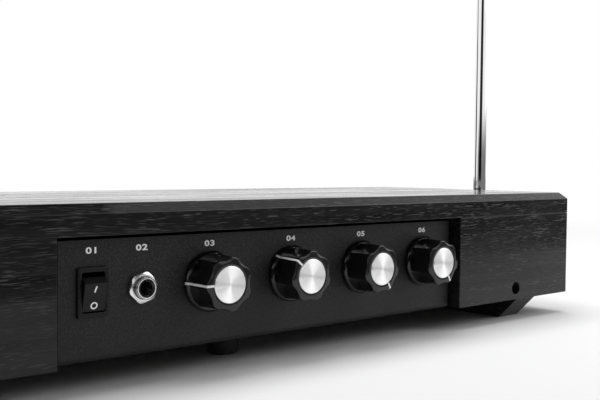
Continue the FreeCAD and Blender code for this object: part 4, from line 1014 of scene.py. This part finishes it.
SLEEVE = ((0.3, (0.014, 0.03, 0.09)), (0.7, (0.03, 0.05, 0.15)))
dress(mottled("capacitor_sleeve", 0.3, (0.02, 0.04, 0.12), (400.0,), tones=SLEEVE), "capacitors")

# --- power inlet ---
# A coaxial DC inlet in the rear flange, seen through the back board's window: a threaded bushing
# with a centre pin, and its nut. Only the inlet is on the instrument, not a lead.

dress(nickel, "power_inlet")
inlet_centre = middle("power_inlet_nut")
inlet_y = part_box("power_inlet_nut")[0].y
inlet_where = seat(inlet_centre.x, inlet_y, inlet_centre.z, "+y")
INLET_RIM = [(2.82, 0.0), (5.3, 0.0), *threaded(5.3, 5.52, 0.0, 4.9, 0.8), (5.3, 4.9), (5.5, 5.05)]
INLET_RIM += [(5.3, 5.42), (3.4, 5.42), (2.87, 5.1)]
lathe("inlet_bushing", INLET_RIM, nickel, inlet_where, 72, slot="nickel", shade_angle=35)
INLET_NUT = 14.0
inlet_nut = lathe("inlet_nut", hex_outline(INLET_NUT, 0.0, 2.5, 5.55), nickel, inlet_where,
                  flats=INLET_NUT, slot="nickel", shade_angle=20)
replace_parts(inlet_nut, "power_inlet_nut")

# --- antenna fittings ---
# Plumbing-like fittings of nickel-plated brass: an elbow at the right end and a straight union at the
# left. A compression nut and a nylon sleeve clamp each antenna's tube.

CAST_EDGE = 0.9 * MM
elbow = eased("pitch_elbow", CAST_EDGE, nickel, 4)
dress(nickel, "fitting_locknuts")
UNION_HEX, UNION_COLLAR = 19.0, 6.0
UNION = [(3.0, -20.7), (6.2, -20.7), (6.6, -20.3), (6.6, 0.0)]
UNION += reversed(hex_outline(UNION_HEX, 0.0, UNION_COLLAR, 6.6)[2:-2])
UNION += [(6.0, 6.05), *threaded(6.0, 6.24, 6.1, 15.0, 1.0), (6.1, 15.1), (5.8, 15.5), (4.75, 15.5)]
UNION += [(4.55, 15.2), (4.55, 2.0), (3.0, 2.0)]
union_centre = middle("volume_union")
left_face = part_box("end_board_left")[0].x
left_where = seat(left_face, union_centre.y, union_centre.z, "-x")
union = lathe("volume_union_turned", UNION, nickel, left_where, flats=UNION_HEX, slot="nickel",
              shade_angle=22)
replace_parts(union, "volume_union")

ARM_THREAD = 1.5
elbow_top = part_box("pitch_clamp_nut")[0].z - ARM_THREAD * MM
antenna_centre = middle("pitch_clamp_nut")
right_where = seat(antenna_centre.x, antenna_centre.y, elbow_top)
ARM = [(5.2, 0.0), *threaded(6.1, 6.27, 0.05, ARM_THREAD, 0.7), (6.1, ARM_THREAD), (5.2, ARM_THREAD)]
lathe("elbow_thread", ARM, nickel, right_where, slot="nickel")
CLAMP_HEX = 17.5
CLAMP = hex_outline(CLAMP_HEX, ARM_THREAD, 15.5, 4.55)[:-2]
CLAMP += [(6.6, ARM_THREAD), (6.3, 1.8), (6.3, 12.1), (4.55, 12.1)]
left_union_where = seat(left_face - UNION_COLLAR * MM, union_centre.y, union_centre.z, "-x")
for side, where in (("pitch", right_where), ("volume", left_union_where)):
    nut = lathe(f"{side}_nut_turned", CLAMP, nickel, where, flats=CLAMP_HEX, body=f"{side}_nut",
                slot="nickel", shade_angle=20)
    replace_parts(nut, f"{side}_clamp_nut")

NYLON = ((0.3, (0.66, 0.64, 0.58)), (0.7, (0.78, 0.76, 0.71)))
nylon = mottled("nylon", 0.4, (0.75, 0.73, 0.68), (500.0,), tones=NYLON, specular=0.4)
dress(nylon, "pitch_sleeve", "volume_sleeve")

# --- antennas ---
# Drawn tube with a domed, closed end, polished and chromed: a straight one for the pitch and a bent
# loop for the volume.

chrome = mottled(
    "chrome", 0.05, (0.86, 0.86, 0.87), ((120.0, 120.0, 60.0), 3.0), tones=((0.3, 0.82), (0.7, 0.88)),
    gloss=(0.35, 0.75, 0.035, 0.085), metallic=1.0,
)

TUBE, TUBE_WALL = 4.5, 0.9
antenna_low, antenna_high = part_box("pitch_antenna")
length = (antenna_high.z - antenna_low.z) / MM
dome = [(TUBE * math.cos(a), length - TUBE + TUBE * math.sin(a))
        for a in (math.radians(9 * number) for number in range(10))]
inside = TUBE - TUBE_WALL
ANTENNA = [(inside, 0.0), (TUBE - 0.2, 0.0), (TUBE, 0.2), *dome, (0.0, length), (0.0, length - TUBE),
           (inside, length - TUBE)]
where = seat(antenna_centre.x, antenna_centre.y, antenna_low.z)
antenna = lathe("pitch_antenna_tube", ANTENNA, chrome, where, body="antenna", slot="chrome")
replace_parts(antenna, "pitch_antenna")

bent_tube, given = new_rule("bent_tube", Radius="Float", Finish="Material")
route = step(bent_tube, "GeometryNodeMeshToCurve", {0: given["Geometry"]}).outputs[0]
kind = "GeometryNodeInputNamedAttribute"
bend = step(bent_tube, kind, {"Name": "bend"}, data_type="FLOAT").outputs[0]
girth = step(bent_tube, kind, {"Name": "girth"}, data_type="FLOAT").outputs[0]
terms = {"Curve": route, "Radius": bend, "Count": 24, "Limit Radius": True}
route = step(bent_tube, "GeometryNodeFilletCurve", terms, mode="POLY").outputs[0]
terms = {"Resolution": 48, "Radius": given["Radius"]}
section = step(bent_tube, "GeometryNodeCurvePrimitiveCircle", terms).outputs[0]
terms = {"Curve": route, "Profile Curve": section, "Scale": girth}
tube = step(bent_tube, "GeometryNodeCurveToMesh", terms).outputs[0]
finish_rule(bent_tube, tube, given["Finish"])

LOOP_Z = union_centre.z
LOOP_END = (-283.0, 14.0)
LOOP_ROUTE = [
    (-237.0, 0.0, 0.0), (-283.0, 0.0, 20.0), (-283.0, -57.0, 36.0), (-483.0, -57.0, 45.0),
    (-483.0, 57.0, 45.0), (-283.0, 57.0, 36.0), (*LOOP_END, 0.0),
]
stops = [(x, y, bend_radius, 1.0) for x, y, bend_radius in LOOP_ROUTE]
for number in range(1, 10):
    angle = math.radians(10 * number)
    stops.append((LOOP_END[0], LOOP_END[1] - TUBE * math.sin(angle), 0.0, math.cos(angle)))
route_mesh = bpy.data.meshes.new("loop_route")
route_mesh.from_pydata([(x * MM, y * MM, LOOP_Z) for x, y, _, _ in stops],
                       [(number, number + 1) for number in range(len(stops) - 1)], [])
along = {"bend": [stop[2] * MM for stop in stops], "girth": [stop[3] for stop in stops]}
for name, levels in along.items():
    route_mesh.attributes.new(name, "FLOAT", "POINT").data.foreach_set("value", levels)
made = follow_rule("loop_route", route_mesh, bent_tube, Radius=TUBE * MM, Finish=chrome)
form = bmesh.new()
form.from_mesh(made)
bmesh.ops.remove_doubles(form, verts=form.verts, dist=SAME_SPOT)
bmesh.ops.recalc_face_normals(form, faces=form.faces)
form.to_mesh(made)
form.free()
loop = to_piece("volume_loop_bent", made, chrome, "loop", "chrome")
wall = loop.modifiers.new("wall", "SOLIDIFY")
wall.thickness = TUBE_WALL * MM
wall.offset = -1.0
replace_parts(loop, "volume_loop")

# --- antenna leads ---
# Two leads of stranded wire in red insulation, soldered between the board and the fittings. They run
# inside the cabinet, and both of their ends are fixed.

RED = ((0.3, (0.4, 0.02, 0.015)), (0.7, (0.56, 0.04, 0.03)))
dress(mottled("lead_insulation", 0.45, (0.5, 0.03, 0.02), (300.0,), tones=RED), "antenna_leads")
